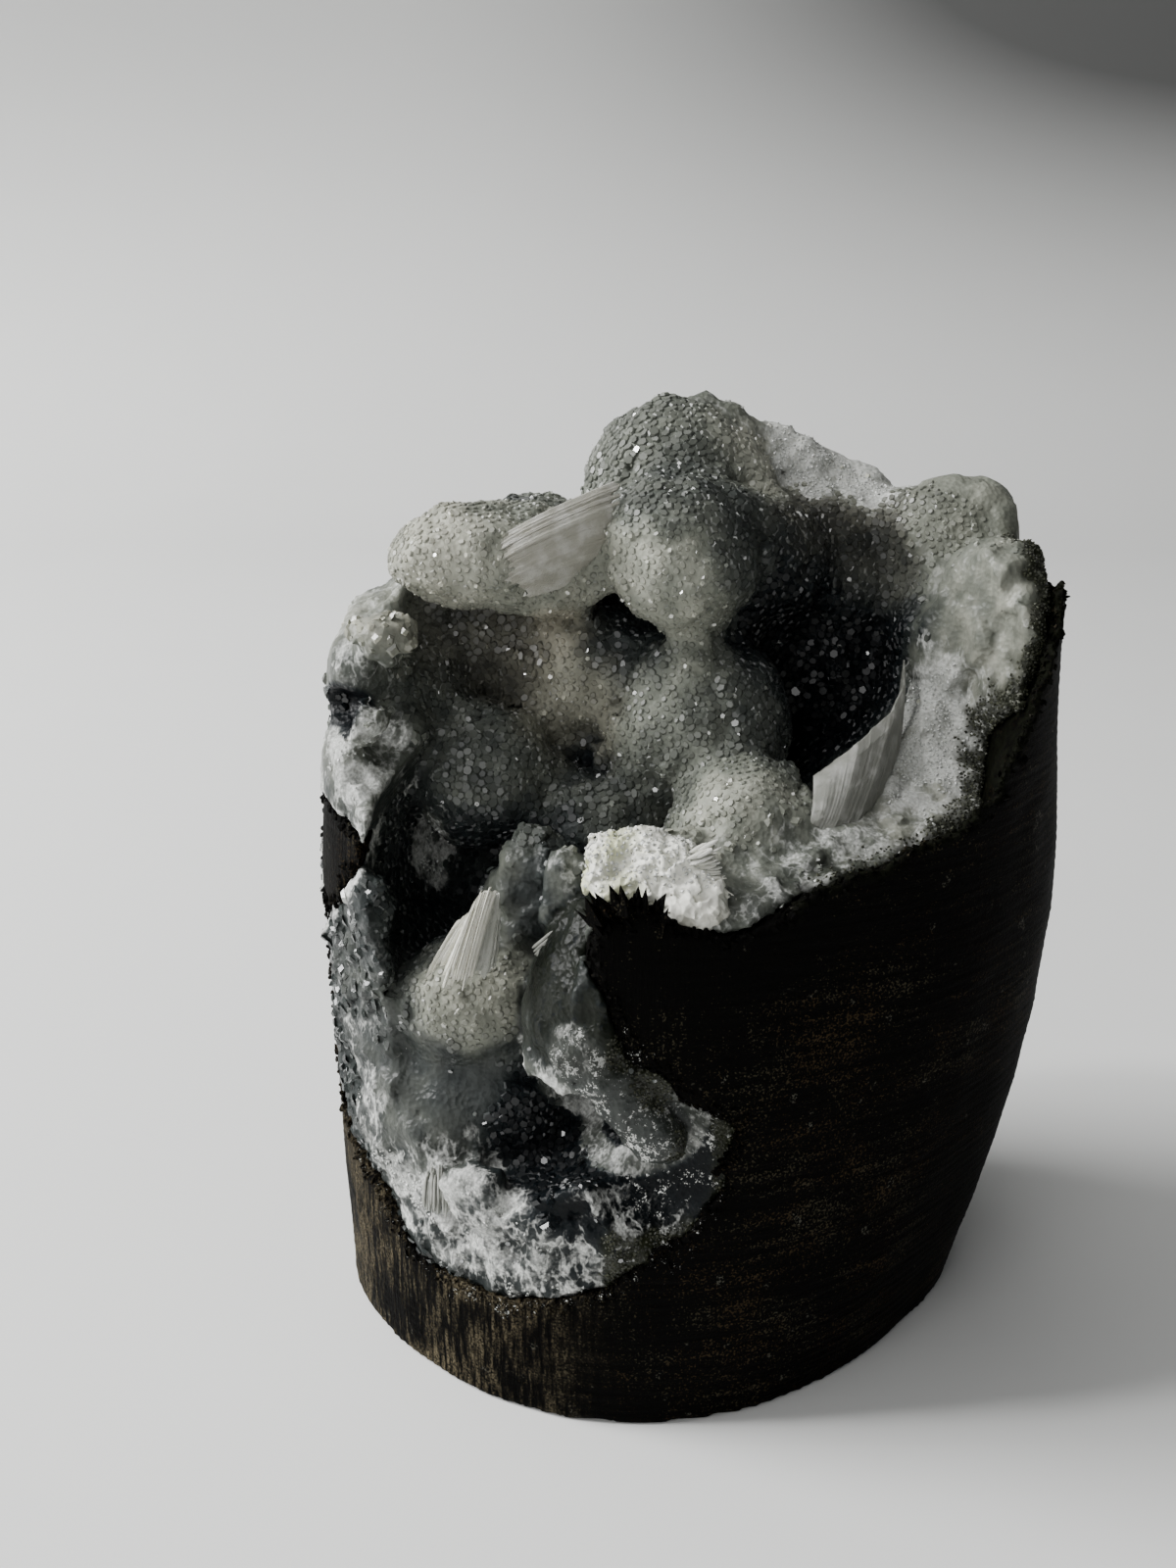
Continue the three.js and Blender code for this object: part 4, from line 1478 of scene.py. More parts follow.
@dataclass
class BasaltMatrix:
    """The sawn trunk of basalt with the pocket in it."""

    form: Form
    step: Triple = mm(1.05, 1.05, 0.5)
    saw_pitch: float = 1.4 * MM
    saw_depth: float = 0.09 * MM

    def build(self) -> None:
        """Builds the trunk, and the grit along its broken edges."""
        grid = Grid(mm(-52, -42, -1.2), mm(52, 42, 126), self.step)
        stone = Stone(self.form, grid)
        index, near = grid.near(stone.side, 1.5 * MM)
        wobble = 0.5 * stone.rough.at(near, mm(9, 9, 5))
        stone.side[index] += self.saw_depth * np.sin(2 * math.pi * (near.z / self.saw_pitch + wobble))
        skin = grid.surface(stone.basalt())
        p = skin.samples()
        sawn = smooth_step(-22 * MM, 0 * MM, p.x - 0.25 * p.z + 8 * MM * stone.rough.at(p, 12 * MM))
        rim = grid.read(stone.pocket, skin.vertices)
        outside = smooth_step(-2.2 * MM, -1.0 * MM, grid.read(stone.trunk(), skin.vertices))
        edge = (1.0 - smooth_step(0.6 * MM, 1.8 * MM, rim)) * outside
        moss = np.where(p.x > 10 * MM, 1.0 - smooth_step(0.4 * MM, 2.0 * MM, rim), 0.0)
        low = smooth_step(52 * MM, 44 * MM, p.z) * smooth_step(10 * MM, 0 * MM, p.x)
        tongue = smooth_step(64 * MM, 58 * MM, p.z) * smooth_step(-2 * MM, -6 * MM, p.x)
        white = np.maximum(low, tongue) * (1.0 - smooth_step(0.5 * MM, 6 * MM, rim)) * outside

        def near_spot(across: float, up: float, reach: float) -> np.ndarray:
            """Gives a soft round patch on the front, in millimetres."""
            return np.exp(-((p.x - across * MM) ** 2 + (p.z - up * MM) ** 2) / (reach * MM) ** 2)

        attributes = {
            "sawn": sawn,
            "moss": moss,
            "edge": edge,
            "white": 0.42 * white - 0.2,
            # painted light: where the lower left of the front looks lit
            "painted_lit_low_left": smooth_step(-8 * MM, -32 * MM, p.x) * smooth_step(40 * MM, 8 * MM, p.z),
            "stain": (near_spot(14, 52, 9) - 1.6 * near_spot(-2, 66, 16)) * (p.y < 0),
        }
        piece = skin.object("basalt_trunk", attributes)
        material = BasaltFinish().material()
        piece.data.materials.append(material)
        placed(piece, "basalt", "basalt_matrix")
        habits = (Habit(4, 0.35), Habit(5, 0.25))
        grit = Growth("basalt_grit", "edge", 0.8 * MM, mm(0.3, 0.8), 1.1, 0.9, 110, habits)
        placed(grit.grow(piece, material), "basalt", "basalt_matrix")
        TongueSpikes().build(material)


@dataclass(frozen=True)
class TongueSpikes:
    """The jagged points along the top of the basalt tongue.

    Attributes:
        line: The line that they stand on, in millimetres.
        count: How many there are.
        tall: The least and the greatest height, in millimetres.
        wide: The least and the greatest half width, in millimetres.
    """

    line: tuple[Triple, ...] = (
        (-13.9, -37.4, 70.4),
        (-12.2, -38.0, 72.4),
        (-10.4, -38.4, 73.4),
        (-8.4, -38.4, 73.4),
        (-6.6, -38.4, 72.2),
        (-5.0, -38.4, 70.2),
    )
    count: int = 20
    tall: tuple[float, float] = (1.8, 4.4)
    wide: tuple[float, float] = (0.8, 1.5)

    def build(self, material: bpy.types.Material) -> bpy.types.Object:
        """Builds the points.

        Args:
            material: The basalt's material.

        Returns:
            The piece.
        """
        rng = np.random.default_rng(71)
        vertices, faces = [], []
        for k in range(self.count):
            at = along_line(self.line, (k + rng.uniform(0.0, 1.0)) / self.count)
            at += Vector((rng.uniform(-0.4, 0.4), rng.uniform(-0.4, 1.4), rng.uniform(-1.0, 0.2)))
            tall, wide = rng.uniform(*self.tall), rng.uniform(*self.wide)
            lean = Vector((0.16 * (at.x + 8.0) + rng.uniform(-0.5, 0.3), rng.uniform(-0.3, 0.1), 1.0))
            first = len(vertices)
            for side in range(4):
                angle = 0.5 * math.pi * side + rng.uniform(-0.4, 0.4)
                spread = Vector((math.cos(angle), math.sin(angle), 0.0)) * wide * rng.uniform(0.7, 1.3)
                vertices.append(tuple((at + spread - lean * 1.2) * MM))
            vertices.append(tuple((at + lean * tall * 0.7) * MM))
            faces.append((first + 3, first + 2, first + 1, first))
            faces += [(first + a, first + (a + 1) % 4, first + 4) for a in range(4)]
        mesh = bpy.data.meshes.new("basalt_spikes")
        mesh.from_pydata(vertices, [], faces)
        mesh.materials.append(material)
        return placed(linked(bpy.data.objects.new("basalt_spikes", mesh)), "basalt", "basalt_matrix")


@dataclass
class Lining:
    """The chalcedony crust and balls, and all that grows on them."""

    form: Form
    step: Triple = mm(0.72, 0.72, 0.72)
    finish: ChalcedonyFinish = ChalcedonyFinish()

    def crust(self) -> bpy.types.Object:
        """Builds the crust, and marks where each growth stands."""
        grid = Grid(mm(-52, -42, 12), mm(52, 42, 126), self.step)
        stone = Stone(self.form, grid)
        crust = stone.crust()
        skin = grid.surface(crust)
        p = skin.samples()
        wander = Noise(31)
        tones = toned(p, wander)
        slab = 1.0 - smooth_step(0.7 * MM, 1.3 * MM, self.form.lobe.distance(p))
        shell = np.abs(self.form.flap.distance(p)) - self.form.flap_wall
        veil = 1.0 - smooth_step(0.7 * MM, 1.3 * MM, shell)
        lip = smooth_step(52 * MM, 49 * MM, p.z + 0.8 * MM * wander.at(p, 2.0 * MM))
        tip = smooth_step(-11.5 * MM, -14.5 * MM, p.x)
        thin_edge = smooth_step(-20.2 * MM, -21.0 * MM, p.x)
        veil_light = 0.09 + 0.40 * np.maximum(lip, 0.7 * thin_edge)
        for key, thin, thick in (("light", veil_light, 0.38), ("white", 0.6 * lip, 0.3 * tip), ("warm", 0.0, 0.0)):
            values = tones[key] + (thin - tones[key]) * veil
            tones[key] = values + (thick - values) * slab
        cut = np.maximum(grid.read(stone.broken(), skin.vertices), grid.read(stone.face, skin.vertices))
        ragged = 0.7 * MM * wander.at(p, 1.7 * MM) + 0.5 * MM * wander.at(p, 4.1 * MM)
        broken = smooth_step(-1.7 * MM, -0.7 * MM, cut + ragged)
        sawn = smooth_step(-1.2 * MM, -0.4 * MM, grid.read(stone.side, skin.vertices))
        sawn = sawn * (1.0 - self.form.walled(p))
        off_ball = smooth_step(0.5 * MM, 1.1 * MM, grid.read(stone.round, skin.vertices))
        bare = 1.0 - smooth_step(0.35, 0.65, tones["grain"] + 0.2 * wander.at(p, 2.0 * MM))
        broken = np.maximum(np.minimum(broken, np.maximum(sawn, off_ball)), bare)
        broken = np.maximum(broken, np.maximum(slab, veil))
        depth = -grid.read(stone.pocket, skin.vertices)
        front = smooth_step(-3.0 * MM, -1.0 * MM, cut)
        shown = np.maximum(smooth_step(0.9 * MM, 1.5 * MM, depth), front * smooth_step(0.2 * MM, 0.5 * MM, depth))
        grows = (1.0 - broken) * shown
        edge = smooth_step(-3.6 * MM, -1.2 * MM, cut + 1.6 * ragged)
        clumps = tones["white"] + 0.40 * wander.at(p, 2.9 * MM) + 0.20 * wander.at(p, 1.3 * MM)
        spray = 0.8 * smooth_step(0.66, 0.95, clumps) * np.maximum(edge, bare) * shown
        # painted shade: inside the small hollow on the left the light and white are taken down to nothing, so it shows
        # black
        bitten = smooth_step(0.2 * MM, 1.2 * MM, BITE.distance(p))
        tones["light"], tones["white"] = tones["light"] * bitten, tones["white"] * bitten
        dusted = smooth_step(-14 * MM, -7 * MM, p.x) * smooth_step(49 * MM, 44 * MM, p.z)
        outline = 1.0 - smooth_step(0.3 * MM, 1.1 * MM, np.abs(self.form.window(p)))
        tones["white"] = np.maximum(tones["white"], 0.9 * outline)
        right = smooth_step(24 * MM, 29 * MM, p.x) * smooth_step(12 * MM, 2 * MM, p.y)
        lower = smooth_step(8 * MM, 14 * MM, p.x) * smooth_step(100 * MM, 94 * MM, p.z) * 0.6
        lower = np.maximum(lower, smooth_step(60 * MM, 54 * MM, p.z) * smooth_step(-13 * MM, -11 * MM, p.x))
        hem = (1.0 - smooth_step(1.9 * MM, 4.2 * MM, depth + 1.8 * ragged)) * front
        moss = hem * np.maximum(right, lower)
        smooth = smooth_step(0.48, 0.66, tones["light"]) * smooth_step(114 * MM, 111 * MM, p.z)
        coarse = 1.0 - 0.36 * smooth
        bands = {
            "druse_high": p.z > 92 * MM,
            "druse_middle": (p.z > 72 * MM) & (p.z <= 92 * MM),
            "druse_low": p.z <= 72 * MM,
        }
        attributes = {
            "light": tones["light"],
            "warm": tones["warm"],
            "white": tones["white"],
            "broken": broken,
            "spray": spray * (1.0 - moss),
            "moss": np.maximum(moss, 0.5 * veil * (1.0 - lip)),
            "tufts": smooth_step(0.4, 0.8, moss),
            "dust": np.maximum(0.27 * dusted, 0.36 * slab),
            "coarse": coarse,
            "glints": np.maximum(grows, 0.12 * broken * shown),
            "chips": broken * shown * front * (1.0 - np.maximum(np.maximum(bare, veil), moss)),
        }
        attributes |= {key: np.where(band, grows, 0.0) for key, band in bands.items()}
        piece = skin.object("chalcedony_crust", attributes)
        piece.data.materials.append(self.finish.crust())
        return placed(piece, "chalcedony", "chalcedony_lining")

    def build(self) -> None:
        """Builds the crust and its growths."""
        crust = self.crust()
        druse = self.finish.druse()
        sugar, moss = SugarFinish().material(), MossFinish().material()
        grains = (Habit(7, 0.70), Habit(6, 0.62), Habit(5, 0.66))
        shards = (Habit(4, 0.6), Habit(5, 0.5), Habit(5, 0.3))
        growths = [
            (Growth(band, band, 0.86 * MM, mm(0.54, 0.96), 0.42, 0.22, 10 * k, grains, "coarse"), druse)
            for k, band in enumerate(("druse_high", "druse_middle", "druse_low"))
        ]
        plates = (Habit(5, 0.85),)
        growths += [
            (Growth("glints", "glints", 2.7 * MM, mm(0.26, 0.46), 1.0, 0.7, 50, plates), self.finish.glint()),
            (Growth("rim_chips", "chips", 1.5 * MM, mm(0.6, 1.2), 0.5, 0.5, 60, shards), self.finish.chips()),
            (Growth("white_spray", "spray", 0.45 * MM, mm(0.15, 0.36), 1.2, 0.9, 70, (Habit(4, 0.2),)), sugar),
            (Growth("green_grains", "tufts", 0.42 * MM, mm(0.15, 0.34), 1.0, 0.9, 90, (Habit(4, 0.4),)), moss),
        ]
        for growth, material in growths:
            placed(growth.grow(crust, material), "chalcedony", "chalcedony_lining")


# ---- Stilbite and quartz --------------------------------------------------------------------------


SECTION = ((-1.0, 0.0), (-0.8, 0.85), (0.0, 1.0), (0.8, 0.85), (1.0, 0.0), (0.8, -0.85), (0.0, -1.0), (-0.8, -0.85))


class Loft:
    """Closed tubes of eight-sided rings, gathered into one mesh."""

    def __init__(self) -> None:
        """Starts with nothing."""
        self.vertices: list[Vector] = []
        self.faces: list[tuple[int, ...]] = []
        self.across: list[float] = []
        self.along: list[float] = []
        self.own: list[float] = []

    def tube(self, rings: list[tuple], own: float) -> None:
        """Adds a tube.

        Args:
            rings: Each ring's middle, its half width and half thickness as vectors, its place across
                the whole bundle and its place along it.
            own: The tube's own random shade.
        """
        first = len(self.vertices)
        count = len(SECTION)
        for middle, wide, thick, across, along in rings:
            for u, v in SECTION:
                self.vertices.append(middle + wide * u + thick * v)
                self.across.append(across + u * wide.length / MM)
                self.along.append(along)
                self.own.append(own)
        for ring in range(len(rings) - 1):
            start = first + ring * count
            for k in range(count):
                after = (k + 1) % count
                self.faces.append((start + k, start + after, start + count + after, start + count + k))
        last = first + (len(rings) - 1) * count
        self.faces.append(tuple(first + k for k in reversed(range(count))))
        self.faces.append(tuple(last + k for k in range(count)))

    def object(self, name: str, finish: StilbiteFinish) -> bpy.types.Object:
        """Makes the Blender object.

        Args:
            name: Its name.
            finish: What it is made of.

        Returns:
            The object, with its faces turned out.
        """
        mesh = bpy.data.meshes.new(name)
        mesh.from_pydata([tuple(v) for v in self.vertices], [], self.faces)
        for key, values in (("across", self.across), ("along", self.along), ("own", self.own)):
            mesh.attributes.new(key, "FLOAT", "POINT").data.foreach_set("value", values)
        mesh.materials.append(finish.material())
        return linked(bpy.data.objects.new(name, mesh))


@dataclass(frozen=True)
class Curtain:
    """Thin stilbite laths side by side, each from a line of feet to a line of heads.

    Attributes:
        name: The piece's name.
        node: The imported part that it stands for.
        feet: The line that the laths start on, in millimetres.
        heads: The line that they end on.
        facing: The way that the broad side looks.
        thick: How thick it is, in millimetres.
        count: How many laths lie side by side.
        layers: How many lie on each other.
        ragged: How unequal their feet and heads are, as a share of the length.
        finish: What it is made of.
        seed: The number that fixes what is random.
        swell: How far the sides swell out, in millimetres.
        fill: How wide a lath is, as a share of its place.
    """

    name: str
    node: str
    feet: tuple[Triple, ...]
    heads: tuple[Triple, ...]
    facing: Triple
    thick: float
    count: int
    layers: int
    ragged: tuple[float, float]
    finish: StilbiteFinish
    seed: int
    swell: float = 0.0
    fill: float = 1.5
    rings: int = 8

    def spot(self, share: float, rise: float) -> Vector:
        """Gives the place at a share of the width and a share of the height."""
        foot, head = along_line(self.feet, share), along_line(self.heads, share)
        middle = along_line(self.feet, 0.5).lerp(along_line(self.heads, 0.5), rise)
        place = foot.lerp(head, rise)
        away = place - middle
        return place + away.normalized() * self.swell * math.sin(math.pi * rise) * abs(2.0 * share - 1.0)

    def fill_loft(self, loft: Loft) -> None:
        """Adds the laths to a loft."""
        rng = np.random.default_rng(self.seed)
        out = Vector(self.facing).normalized()
        for layer in range(self.layers):
            level = (layer + 0.5) / self.layers * 2.0 - 1.0
            for k in range(self.count):
                share = (k + 0.5 + rng.uniform(-0.35, 0.35)) / self.count
                begin = rng.uniform(0.0, self.ragged[0])
                end = 1.0 - rng.uniform(0.0, self.ragged[1])
                bow, fat, lift = rng.uniform(-0.2, 0.2), rng.uniform(0.7, 1.3), rng.uniform(-0.3, 0.3)
                rings = []
                for ring in range(self.rings):
                    step = ring / (self.rings - 1)
                    rise = begin + (end - begin) * step
                    place = self.spot(share, rise)
                    side = self.spot(min(share + 0.03, 1.0), rise) - self.spot(max(share - 0.03, 0.0), rise)
                    width = max(side.length / 0.06 / self.count, 0.18)
                    depth = 0.5 * self.thick * (level + lift / self.layers) * (1.0 - 0.3 * rise)
                    place += out * (depth + bow * math.sin(math.pi * step))
                    taper = 1.0 if 0 < ring < self.rings - 1 else 0.4
                    wide = side.normalized() * (0.5 * self.fill * fat * width * taper)
                    thick = out * (0.42 * self.thick / self.layers * fat * (0.4 + 0.6 * taper))
                    rings.append((place * MM, wide * MM, thick * MM, share * 9.0, rise * 12.0))
                loft.tube(rings, float(rng.uniform()))

    def build(self) -> bpy.types.Object:
        """Builds the piece."""
        loft = Loft()
        self.fill_loft(loft)
        return placed(loft.object(self.name, self.finish), "stilbite", self.node)


@dataclass(frozen=True)
class Sheet:
    """A thin plate of stilbite with fine ridges, drawn from a line of feet to a line of heads.

    Attributes:
        name: The piece's name.
        node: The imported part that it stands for.
        feet: The line that it starts on, in millimetres.
        heads: The line that it ends on.
        facing: The way that the broad side looks.
        thick: How thick it is, in millimetres.
        ragged: How unequal its feet and heads are, as a share of the length.
        finish: What it is made of.
        seed: The number that fixes what is random.
        bow: How far it bulges, in millimetres.
        ridge: How deep its ridges are, in millimetres.
        teeth: How many laths its ends are broken into.
    """

    name: str
    node: str
    feet: tuple[Triple, ...]
    heads: tuple[Triple, ...]
    facing: Triple
    thick: float
    ragged: tuple[float, float]
    finish: StilbiteFinish
    seed: int
    bow: float = 0.3
    ridge: float = 0.16
    teeth: int = 24
    columns: int = 121
    rows: int = 22

    def profiles(self) -> tuple[np.ndarray, np.ndarray, np.ndarray, np.ndarray]:
        """Gives each column's shade, ridge height, and where it starts and ends."""
        rng = np.random.default_rng(self.seed)
        spread = np.linspace(0.0, 1.0, self.columns)
        laths = np.minimum((spread * self.teeth).astype(int), self.teeth - 1)
        shade = rng.uniform(0.0, 1.0, self.teeth)[laths]
        nodes = np.linspace(0.0, 1.0, 3 * self.teeth)
        fine = np.interp(spread, nodes, rng.uniform(-1.0, 1.0, len(nodes)))
        height = self.ridge * (1.2 * rng.uniform(-1.0, 1.0, self.teeth)[laths] + fine)
        tilt = (spread * self.teeth - laths) * rng.uniform(-1.0, 1.0, self.teeth)[laths]
        begin = self.ragged[0] * np.clip(rng.uniform(0.0, 1.0, self.teeth)[laths] + 0.4 * tilt, 0.0, 1.0)
        end = 1.0 - self.ragged[1] * np.clip(rng.uniform(0.0, 1.0, self.teeth)[laths] + 0.4 * tilt, 0.0, 1.0)
        return shade, height, begin, end

    def build(self) -> bpy.types.Object:
        """Builds the piece."""
        out = Vector(self.facing).normalized()
        shade, height, begin, end = self.profiles()
        front, back, across, along, own = [], [], [], [], []
        rng = np.random.default_rng(self.seed + 500)
        warp = rng.uniform(-1.0, 1.0, (6, 5))
        for column in range(self.columns):
            share = column / (self.columns - 1)
            edge = min(share, 1.0 - share) * 12.0
            for row in range(self.rows):
                step = row / (self.rows - 1)
                rise = begin[column] + (end[column] - begin[column]) * step
                place = along_line(self.feet, share).lerp(along_line(self.heads, share), rise)
                spot = min(share * 5.0, 4.999)
                low = warp[int(spot)][int(rise * 3.999)]
                bend = low + (warp[int(spot) + 1][int(rise * 3.999)] - low) * (spot - int(spot))
                lift = self.bow * math.sin(math.pi * rise) + height[column] * (1.0 - 0.4 * rise)
                half = 0.5 * self.thick * min(1.0, 0.25 + edge, 0.3 + 5.0 * (1.0 - step), 0.3 + 5.0 * step)
                middle = place + out * (lift + 0.10 * bend)
                front.append((middle + out * half) * MM)
                back.append((place + out * (0.5 * lift - half)) * MM)
                across.append(share * 22.0)
                along.append(rise * 12.0)
                own.append(float(shade[column]))
        mesh = bpy.data.meshes.new(self.name)
        mesh.from_pydata([tuple(v) for v in front + back], [], self.faces())
        for key, values in (("across", across), ("along", along), ("own", own)):
            mesh.attributes.new(key, "FLOAT", "POINT").data.foreach_set("value", values * 2)
        facing = mesh.polygons[len(mesh.polygons) // 4].normal.dot(out)
        if facing < 0.0:
            mesh.flip_normals()
        mesh.materials.append(self.finish.material())
        piece = linked(bpy.data.objects.new(self.name, mesh))
        return placed(piece, "stilbite", self.node)

    def faces(self) -> list[tuple[int, ...]]:
        """Gives the faces of both sides and of the edge between them."""
        rows, count = self.rows, self.columns * self.rows
        faces = []
        for column in range(self.columns - 1):
            for row in range(rows - 1):
                a = column * rows + row
                faces.append((a, a + rows, a + rows + 1, a + 1))
        faces += [tuple(count + k for k in reversed(face)) for face in faces]
        border = [column * rows for column in range(self.columns)]
        border += [(self.columns - 1) * rows + row for row in range(1, rows)]
        border += [column * rows + rows - 1 for column in reversed(range(self.columns - 1))]
        border += list(reversed(range(1, rows - 1)))
        for a, b in zip(border, border[1:] + border[:1]):
            faces.append((b, a, count + a, count + b))
        return faces


SHEETS = (
    Sheet(
        "stilbite_sheaf", "stilbite_sheaf_front",
        ((-31.6, -29.8, 59.2), (-30.4, -30.6, 57.9), (-28.8, -30.4, 58.4), (-27.6, -30.0, 59.6)),
        ((-27.3, -28.6, 69.2), (-26.4, -28.4, 70.7), (-25.4, -28.2, 70.9), (-24.5, -28.0, 70.6)),
        (-0.1, -1, 0.2), 1.5, (0.16, 0.04), CREAM, 41, 0.7, 0.22, 11,
    ),
    Sheet(
        "stilbite_sheaf_left", "stilbite_sheaf_front", ((-33.6, -29.0, 59.0), (-32.4, -29.6, 60.4), (-30.6, -29.8, 59.4)),
        ((-29.4, -28.6, 66.8), (-28.0, -28.2, 67.6), (-26.4, -28, 68.0)),
        (-0.4, -1, 0.2), 1.2, (0.2, 0.05), CREAM, 42, 0.4, 0.18, 8,
    ),
    Sheet(
        "stilbite_sheaf_side", "stilbite_sheaf_front", ((-28.2, -29.4, 60.2), (-26.2, -28.4, 58.8), (-25.0, -27, 60.2)),
        ((-25.8, -27.8, 69.8), (-24.4, -27.2, 69.8), (-24.4, -26.6, 66.0)),
        (0.5, -1, 0.2), 1.1, (0.14, 0.06), GLASSY, 43, 0.2, 0.14, 6,
    ),
    Sheet(
        "stilbite_blade_upper", "stilbite_blade_top",
        ((-25.4, -6.4, 108.6), (-25.6, -8.2, 106.2), (-24.2, -8.6, 103.6), (-21.2, -5.6, 101.0)),
        ((-9.0, 1.0, 115.2), (-9.6, -1.4, 112.3), (-11.2, -2.8, 107.9), (-13.6, -0.6, 101.6)),
        (-0.35, -0.85, 0.3), 1.0, (0.10, 0.08), PEARL, 44, 1.2, 0.10, 20,
    ),
    Sheet(
        "stilbite_sheet_right", "stilbite_blade_right",
        ((13.4, -21.8, 76.4), (15.6, -22.2, 75.0), (18.5, -21.0, 74.6), (22.0, -16.5, 75.6), (26.0, -9.0, 79.0)),
        ((14.1, -18.0, 81.5), (19.6, -15.4, 84.8), (24.8, -9.6, 87.4), (27.2, -4.5, 89.6), (28.0, 1.0, 91.5)),
        (0.35, -0.85, 0.3), 1.2, (0.05, 0.02), SHEER, 45, 0.8, 0.035, 26, 201, 22,
    ),
)

CURTAINS = (
    Curtain(
        "stilbite_fan", "stilbite_fan_lower", ((-35, -26.9, 25.5), (-31.6, -28.6, 24.5), (-28.4, -29.7, 26.4)),
        ((-34.4, -27.4, 32.0), (-31.4, -28.6, 33.4), (-28.6, -29.8, 32.4)), (-0.3, -0.9, 0.25), 1.6, 22, 2,
        (0.45, 0.45), CLOUDY, 46, 0.0, 1.0,
    ),
    Curtain(
        "stilbite_lath_small", "stilbite_lath", ((-21.0, -26.2, 62.0), (-19.8, -27, 60.4)),
        ((-17.8, -28.0, 65.6), (-16.6, -28.6, 64.0)), (0.1, -0.8, 0.6), 0.7, 5, 1, (0.15, 0.25), GLASSY, 47,
        0.0, 0.7,
    ),
)


@dataclass(frozen=True)
class LipMass:
    """The cream mass on the lip: blocky lumps, with fibres that spread from them to the right."""

    lumps: tuple[Ellipsoid, ...] = (
        rounded((-10.8, -28.8, 74.8), (3.2, 3.6, 3.2)),
        rounded((-10.4, -30.2, 72.6), (3.4, 3.6, 2.2)),
        rounded((-7.0, -29.4, 75.6), (3.4, 3.6, 3.0)),
        rounded((-3.8, -30.4, 74.6), (3.6, 4.0, 3.2)),
        rounded((-6.4, -31.6, 72.6), (3.0, 3.2, 2.4)),
        rounded((-1.6, -32.0, 72.2), (3.6, 3.8, 3.2)),
        rounded((0.0, -33.6, 70.2), (2.8, 3.4, 2.6)),
        rounded((-3.4, -33.8, 70.4), (3.0, 3.2, 2.4)),
    )
    foot: Triple = (-5.6, -29.4, 74.6)
    reach: float = 8.0
    turns: tuple[float, float] = (58.0, 150.0)
    fibres: int = 110

    def build(self) -> None:
        """Builds the lumps and the fibres."""
        grid = Grid(mm(-18, -38, 64), mm(8, -21, 82), mm(0.25, 0.25, 0.25))
        lumpy = united(self.lumps, grid.samples, 0.9 * MM)
        index, near = grid.near(lumpy, 1.8 * MM)
        rough, fine, facets = Noise(51), Noise(52), Facets(54)
        lumpy[index] += 0.5 * MM * rough.at(near, 2.2 * MM) + 0.2 * MM * fine.at(near, 0.8 * MM)
        lumpy[index] += 0.7 * MM * facets.at(near, 1.9 * MM)
        skin = grid.surface(lumpy)
        p = skin.samples()
        top = smooth_step(72 * MM, 75 * MM, p.z + 1.5 * MM * rough.at(p, 3.0 * MM))
        piece = skin.object("stilbite_lumps", {"spray": top})
        piece.data.materials.append(LumpFinish().material())
        placed(piece, "stilbite", "stilbite_mass_lip")
        habits = (Habit(4, 0.5), Habit(5, 0.3))
        sugar = Growth("lump_grains", "spray", 0.6 * MM, mm(0.14, 0.42), 0.8, 0.8, 75, habits)
        placed(sugar.grow(piece, SugarFinish().material()), "stilbite", "stilbite_mass_lip")
        self.spread()

    def spread(self) -> None:
        """Builds the fibres, which run down over the lumps."""
        rng = np.random.default_rng(53)
        loft = Loft()
        for k in range(self.fibres):
            share = (k + rng.uniform(0.0, 1.0)) / self.fibres
            turn = math.radians(self.turns[0] + (self.turns[1] - self.turns[0]) * share)
            flat = Vector((math.sin(turn), 0.0, math.cos(turn)))
            side = Vector((math.cos(turn), 0.0, -math.sin(turn)))
            start, length = rng.uniform(0.35, 0.7), self.reach * rng.uniform(0.75, 1.0)
            width, height = rng.uniform(0.10, 0.26), rng.uniform(-1.7, -0.2)
            rings = []
            for ring in range(6):
                step = ring / 5
                far = start + (1.0 - start) * step
                bulge = -4.6 * math.sin(0.5 * math.pi * min(far * 1.25, 1.0)) - height
                middle = Vector(self.foot) + flat * length * far + Vector((0.0, bulge, 0.0))
                taper = (0.3, 0.7, 1.0, 1.0, 0.9, 0.3)[ring]
                thick = Vector((0.0, -0.4 * taper, 0.0))
                rings.append((middle * MM, side * width * taper * MM, thick * MM, turn * 8.0, step * 11.0))
            loft.tube(rings, float(rng.uniform()))
        piece = loft.object("stilbite_fibres", FIBROUS)
        placed(piece, "stilbite", "stilbite_mass_lip")


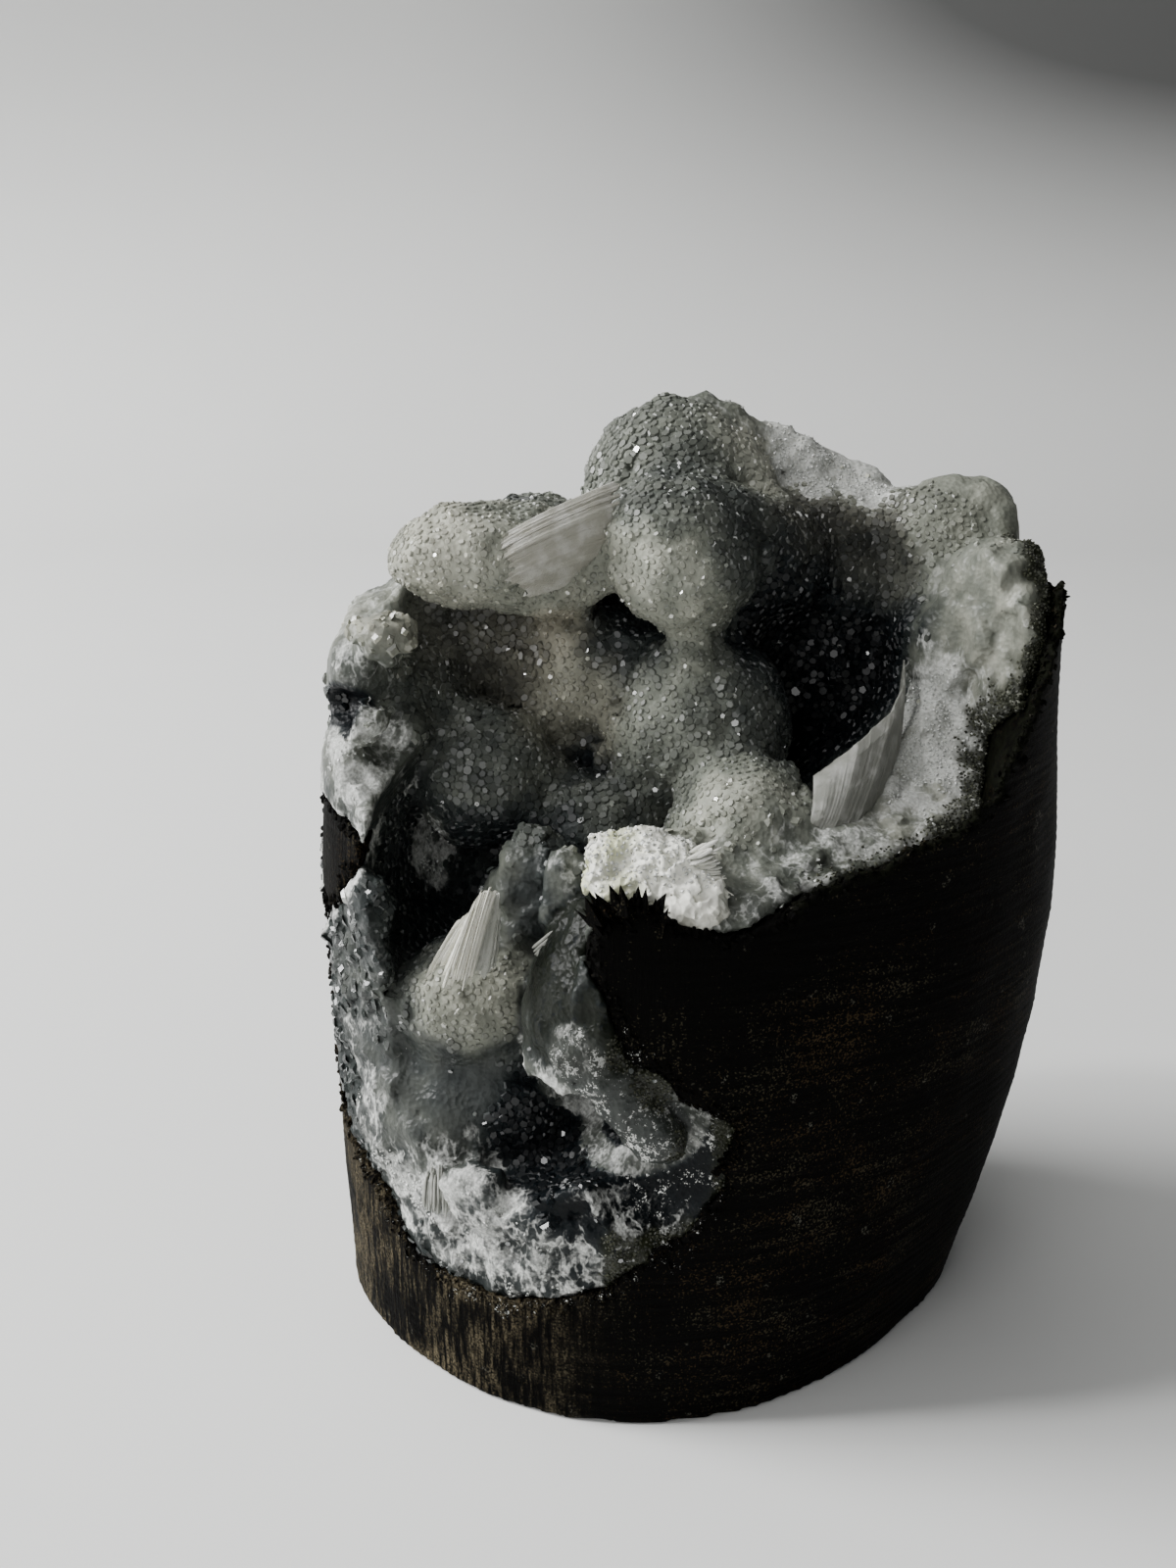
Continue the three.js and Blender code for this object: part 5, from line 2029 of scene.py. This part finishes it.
@dataclass(frozen=True)
class QuartzPoint:
    """The small clear quartz crystal: a six-sided prism with a pointed end."""

    at: Triple = mm(-15, -28.5, 31)
    radius: float = 0.9 * MM
    prism: float = 2.6 * MM
    height: float = 5 * MM
    lean: float = 14.0

    def build(self) -> bpy.types.Object:
        """Builds the piece."""
        rng = np.random.default_rng(61)
        turn = math.radians(self.lean)
        rings = ((0.0, 1.0), (0.5 * self.prism, 1.04), (self.prism, 1.0), (self.height, 0.12))
        vertices = []
        for rise, wide in rings:
            for k in range(6):
                angle = math.radians(60 * k + 12)
                radius = self.radius * wide * (1.0 + 0.12 * ((k * 5) % 3 - 1))
                x, y = radius * math.cos(angle), radius * math.sin(angle)
                z = rise + (0.18 * MM * rng.uniform(-1, 1) if wide == 1.0 and rise > 0 else 0.0)
                vertices.append(
                    (
                        self.at[0] + x * math.cos(turn) + z * math.sin(turn),
                        self.at[1] + y,
                        self.at[2] - x * math.sin(turn) + z * math.cos(turn),
                    )
                )
        faces = [tuple(reversed(range(6))), tuple(18 + k for k in range(6))]
        for ring in range(3):
            for k in range(6):
                a, b = ring * 6 + k, ring * 6 + (k + 1) % 6
                faces.append((a, b, b + 6, a + 6))
        mesh = bpy.data.meshes.new("quartz_crystal")
        mesh.from_pydata(vertices, [], faces)
        mesh.materials.append(QuartzFinish().material())
        piece = linked(bpy.data.objects.new("quartz_crystal", mesh))
        return placed(piece, "quartz", "quartz_point")


# ---- Stage --------------------------------------------------------------------------------------


@dataclass(frozen=True)
class Lamp:
    """An area lamp that looks at the specimen."""

    name: str
    at: Triple
    size: float
    watts: float
    colour: Triple = (1.0, 1.0, 1.0)

    def build(self, target: Triple = (0.0, 0.0, 0.06)) -> None:
        """Builds the lamp."""
        light = bpy.data.lights.new(self.name, "AREA")
        light.shape = "DISK"
        light.size = self.size
        light.energy = self.watts
        light.color = self.colour
        lamp = linked(bpy.data.objects.new(self.name, light))
        lamp.location = self.at
        look = Vector(target) - Vector(self.at)
        lamp.rotation_euler = look.to_track_quat("-Z", "Y").to_euler()


@dataclass(frozen=True)
class Studio:
    """A pale floor that curves up into a backdrop, the lamps and the camera."""

    front: float = -1.5
    bend: float = 0.55
    radius: float = 0.35
    top: float = 1.6
    half: float = 2.0
    steps: int = 16
    lens: float = 38.25
    camera_at: Triple = mm(-13.7, -212.3, 147.3)
    look_down: float = 19.0
    lamps: tuple[Lamp, ...] = (
        Lamp("key", (-1.00, 0.10, 0.62), 0.6, 25.0),
        Lamp("sparkle", (-0.60, -0.10, 0.95), 0.09, 3.5),
        Lamp("overhead", (-0.50, 0.00, 1.25), 1.2, 5.5),
        Lamp("front", (-0.50, -0.95, 0.60), 0.9, 5.0),
    )

    def backdrop(self) -> None:
        """Builds the floor and the backdrop."""
        line = [(self.front, 0.0), (self.bend, 0.0)]
        for k in range(1, self.steps + 1):
            turn = 0.5 * math.pi * k / self.steps
            line.append(
                (self.bend + self.radius * math.sin(turn), self.radius * (1.0 - math.cos(turn)))
            )
        line.append((self.bend + self.radius, self.top))
        vertices = [(x, y, z) for y, z in line for x in (-self.half, self.half)]
        faces = [(2 * k, 2 * k + 1, 2 * k + 3, 2 * k + 2) for k in range(len(line) - 1)]
        mesh = bpy.data.meshes.new("pale_floor")
        mesh.from_pydata(vertices, [], faces)
        mesh.materials.append(StageFinish().material())
        for face in mesh.polygons:
            face.use_smooth = True
        linked(bpy.data.objects.new("pale_floor", mesh))

    def build(self) -> None:
        """Builds the stage."""
        self.backdrop()
        for lamp in self.lamps:
            lamp.build()
        world = bpy.data.worlds.new("soft_surround")
        world.use_nodes = True
        background = world.node_tree.nodes["Background"]
        background.inputs["Color"].default_value = (0.80, 0.81, 0.82, 1.0)
        background.inputs["Strength"].default_value = 0.10
        bpy.context.scene.world = world
        camera = bpy.data.cameras.new("camera")
        camera.lens = self.lens
        camera.sensor_width = 36
        camera.clip_start = 0.01
        viewer = linked(bpy.data.objects.new("camera", camera))
        viewer.location = self.camera_at
        viewer.rotation_euler = (math.radians(90.0 - self.look_down), 0.0, 0.0)
        bpy.context.scene.camera = viewer


def main() -> None:
    """Builds the specimen, its stage, its lights and its camera."""
    logging.basicConfig(level=logging.INFO, format="%(name)s: %(message)s")
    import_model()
    Studio().build()
    form = Form()
    BasaltMatrix(form).build()
    Lining(form).build()
    for plate in SHEETS + CURTAINS:
        plate.build()
    LipMass().build()
    QuartzPoint().build()


if __name__ == "__main__":
    main()
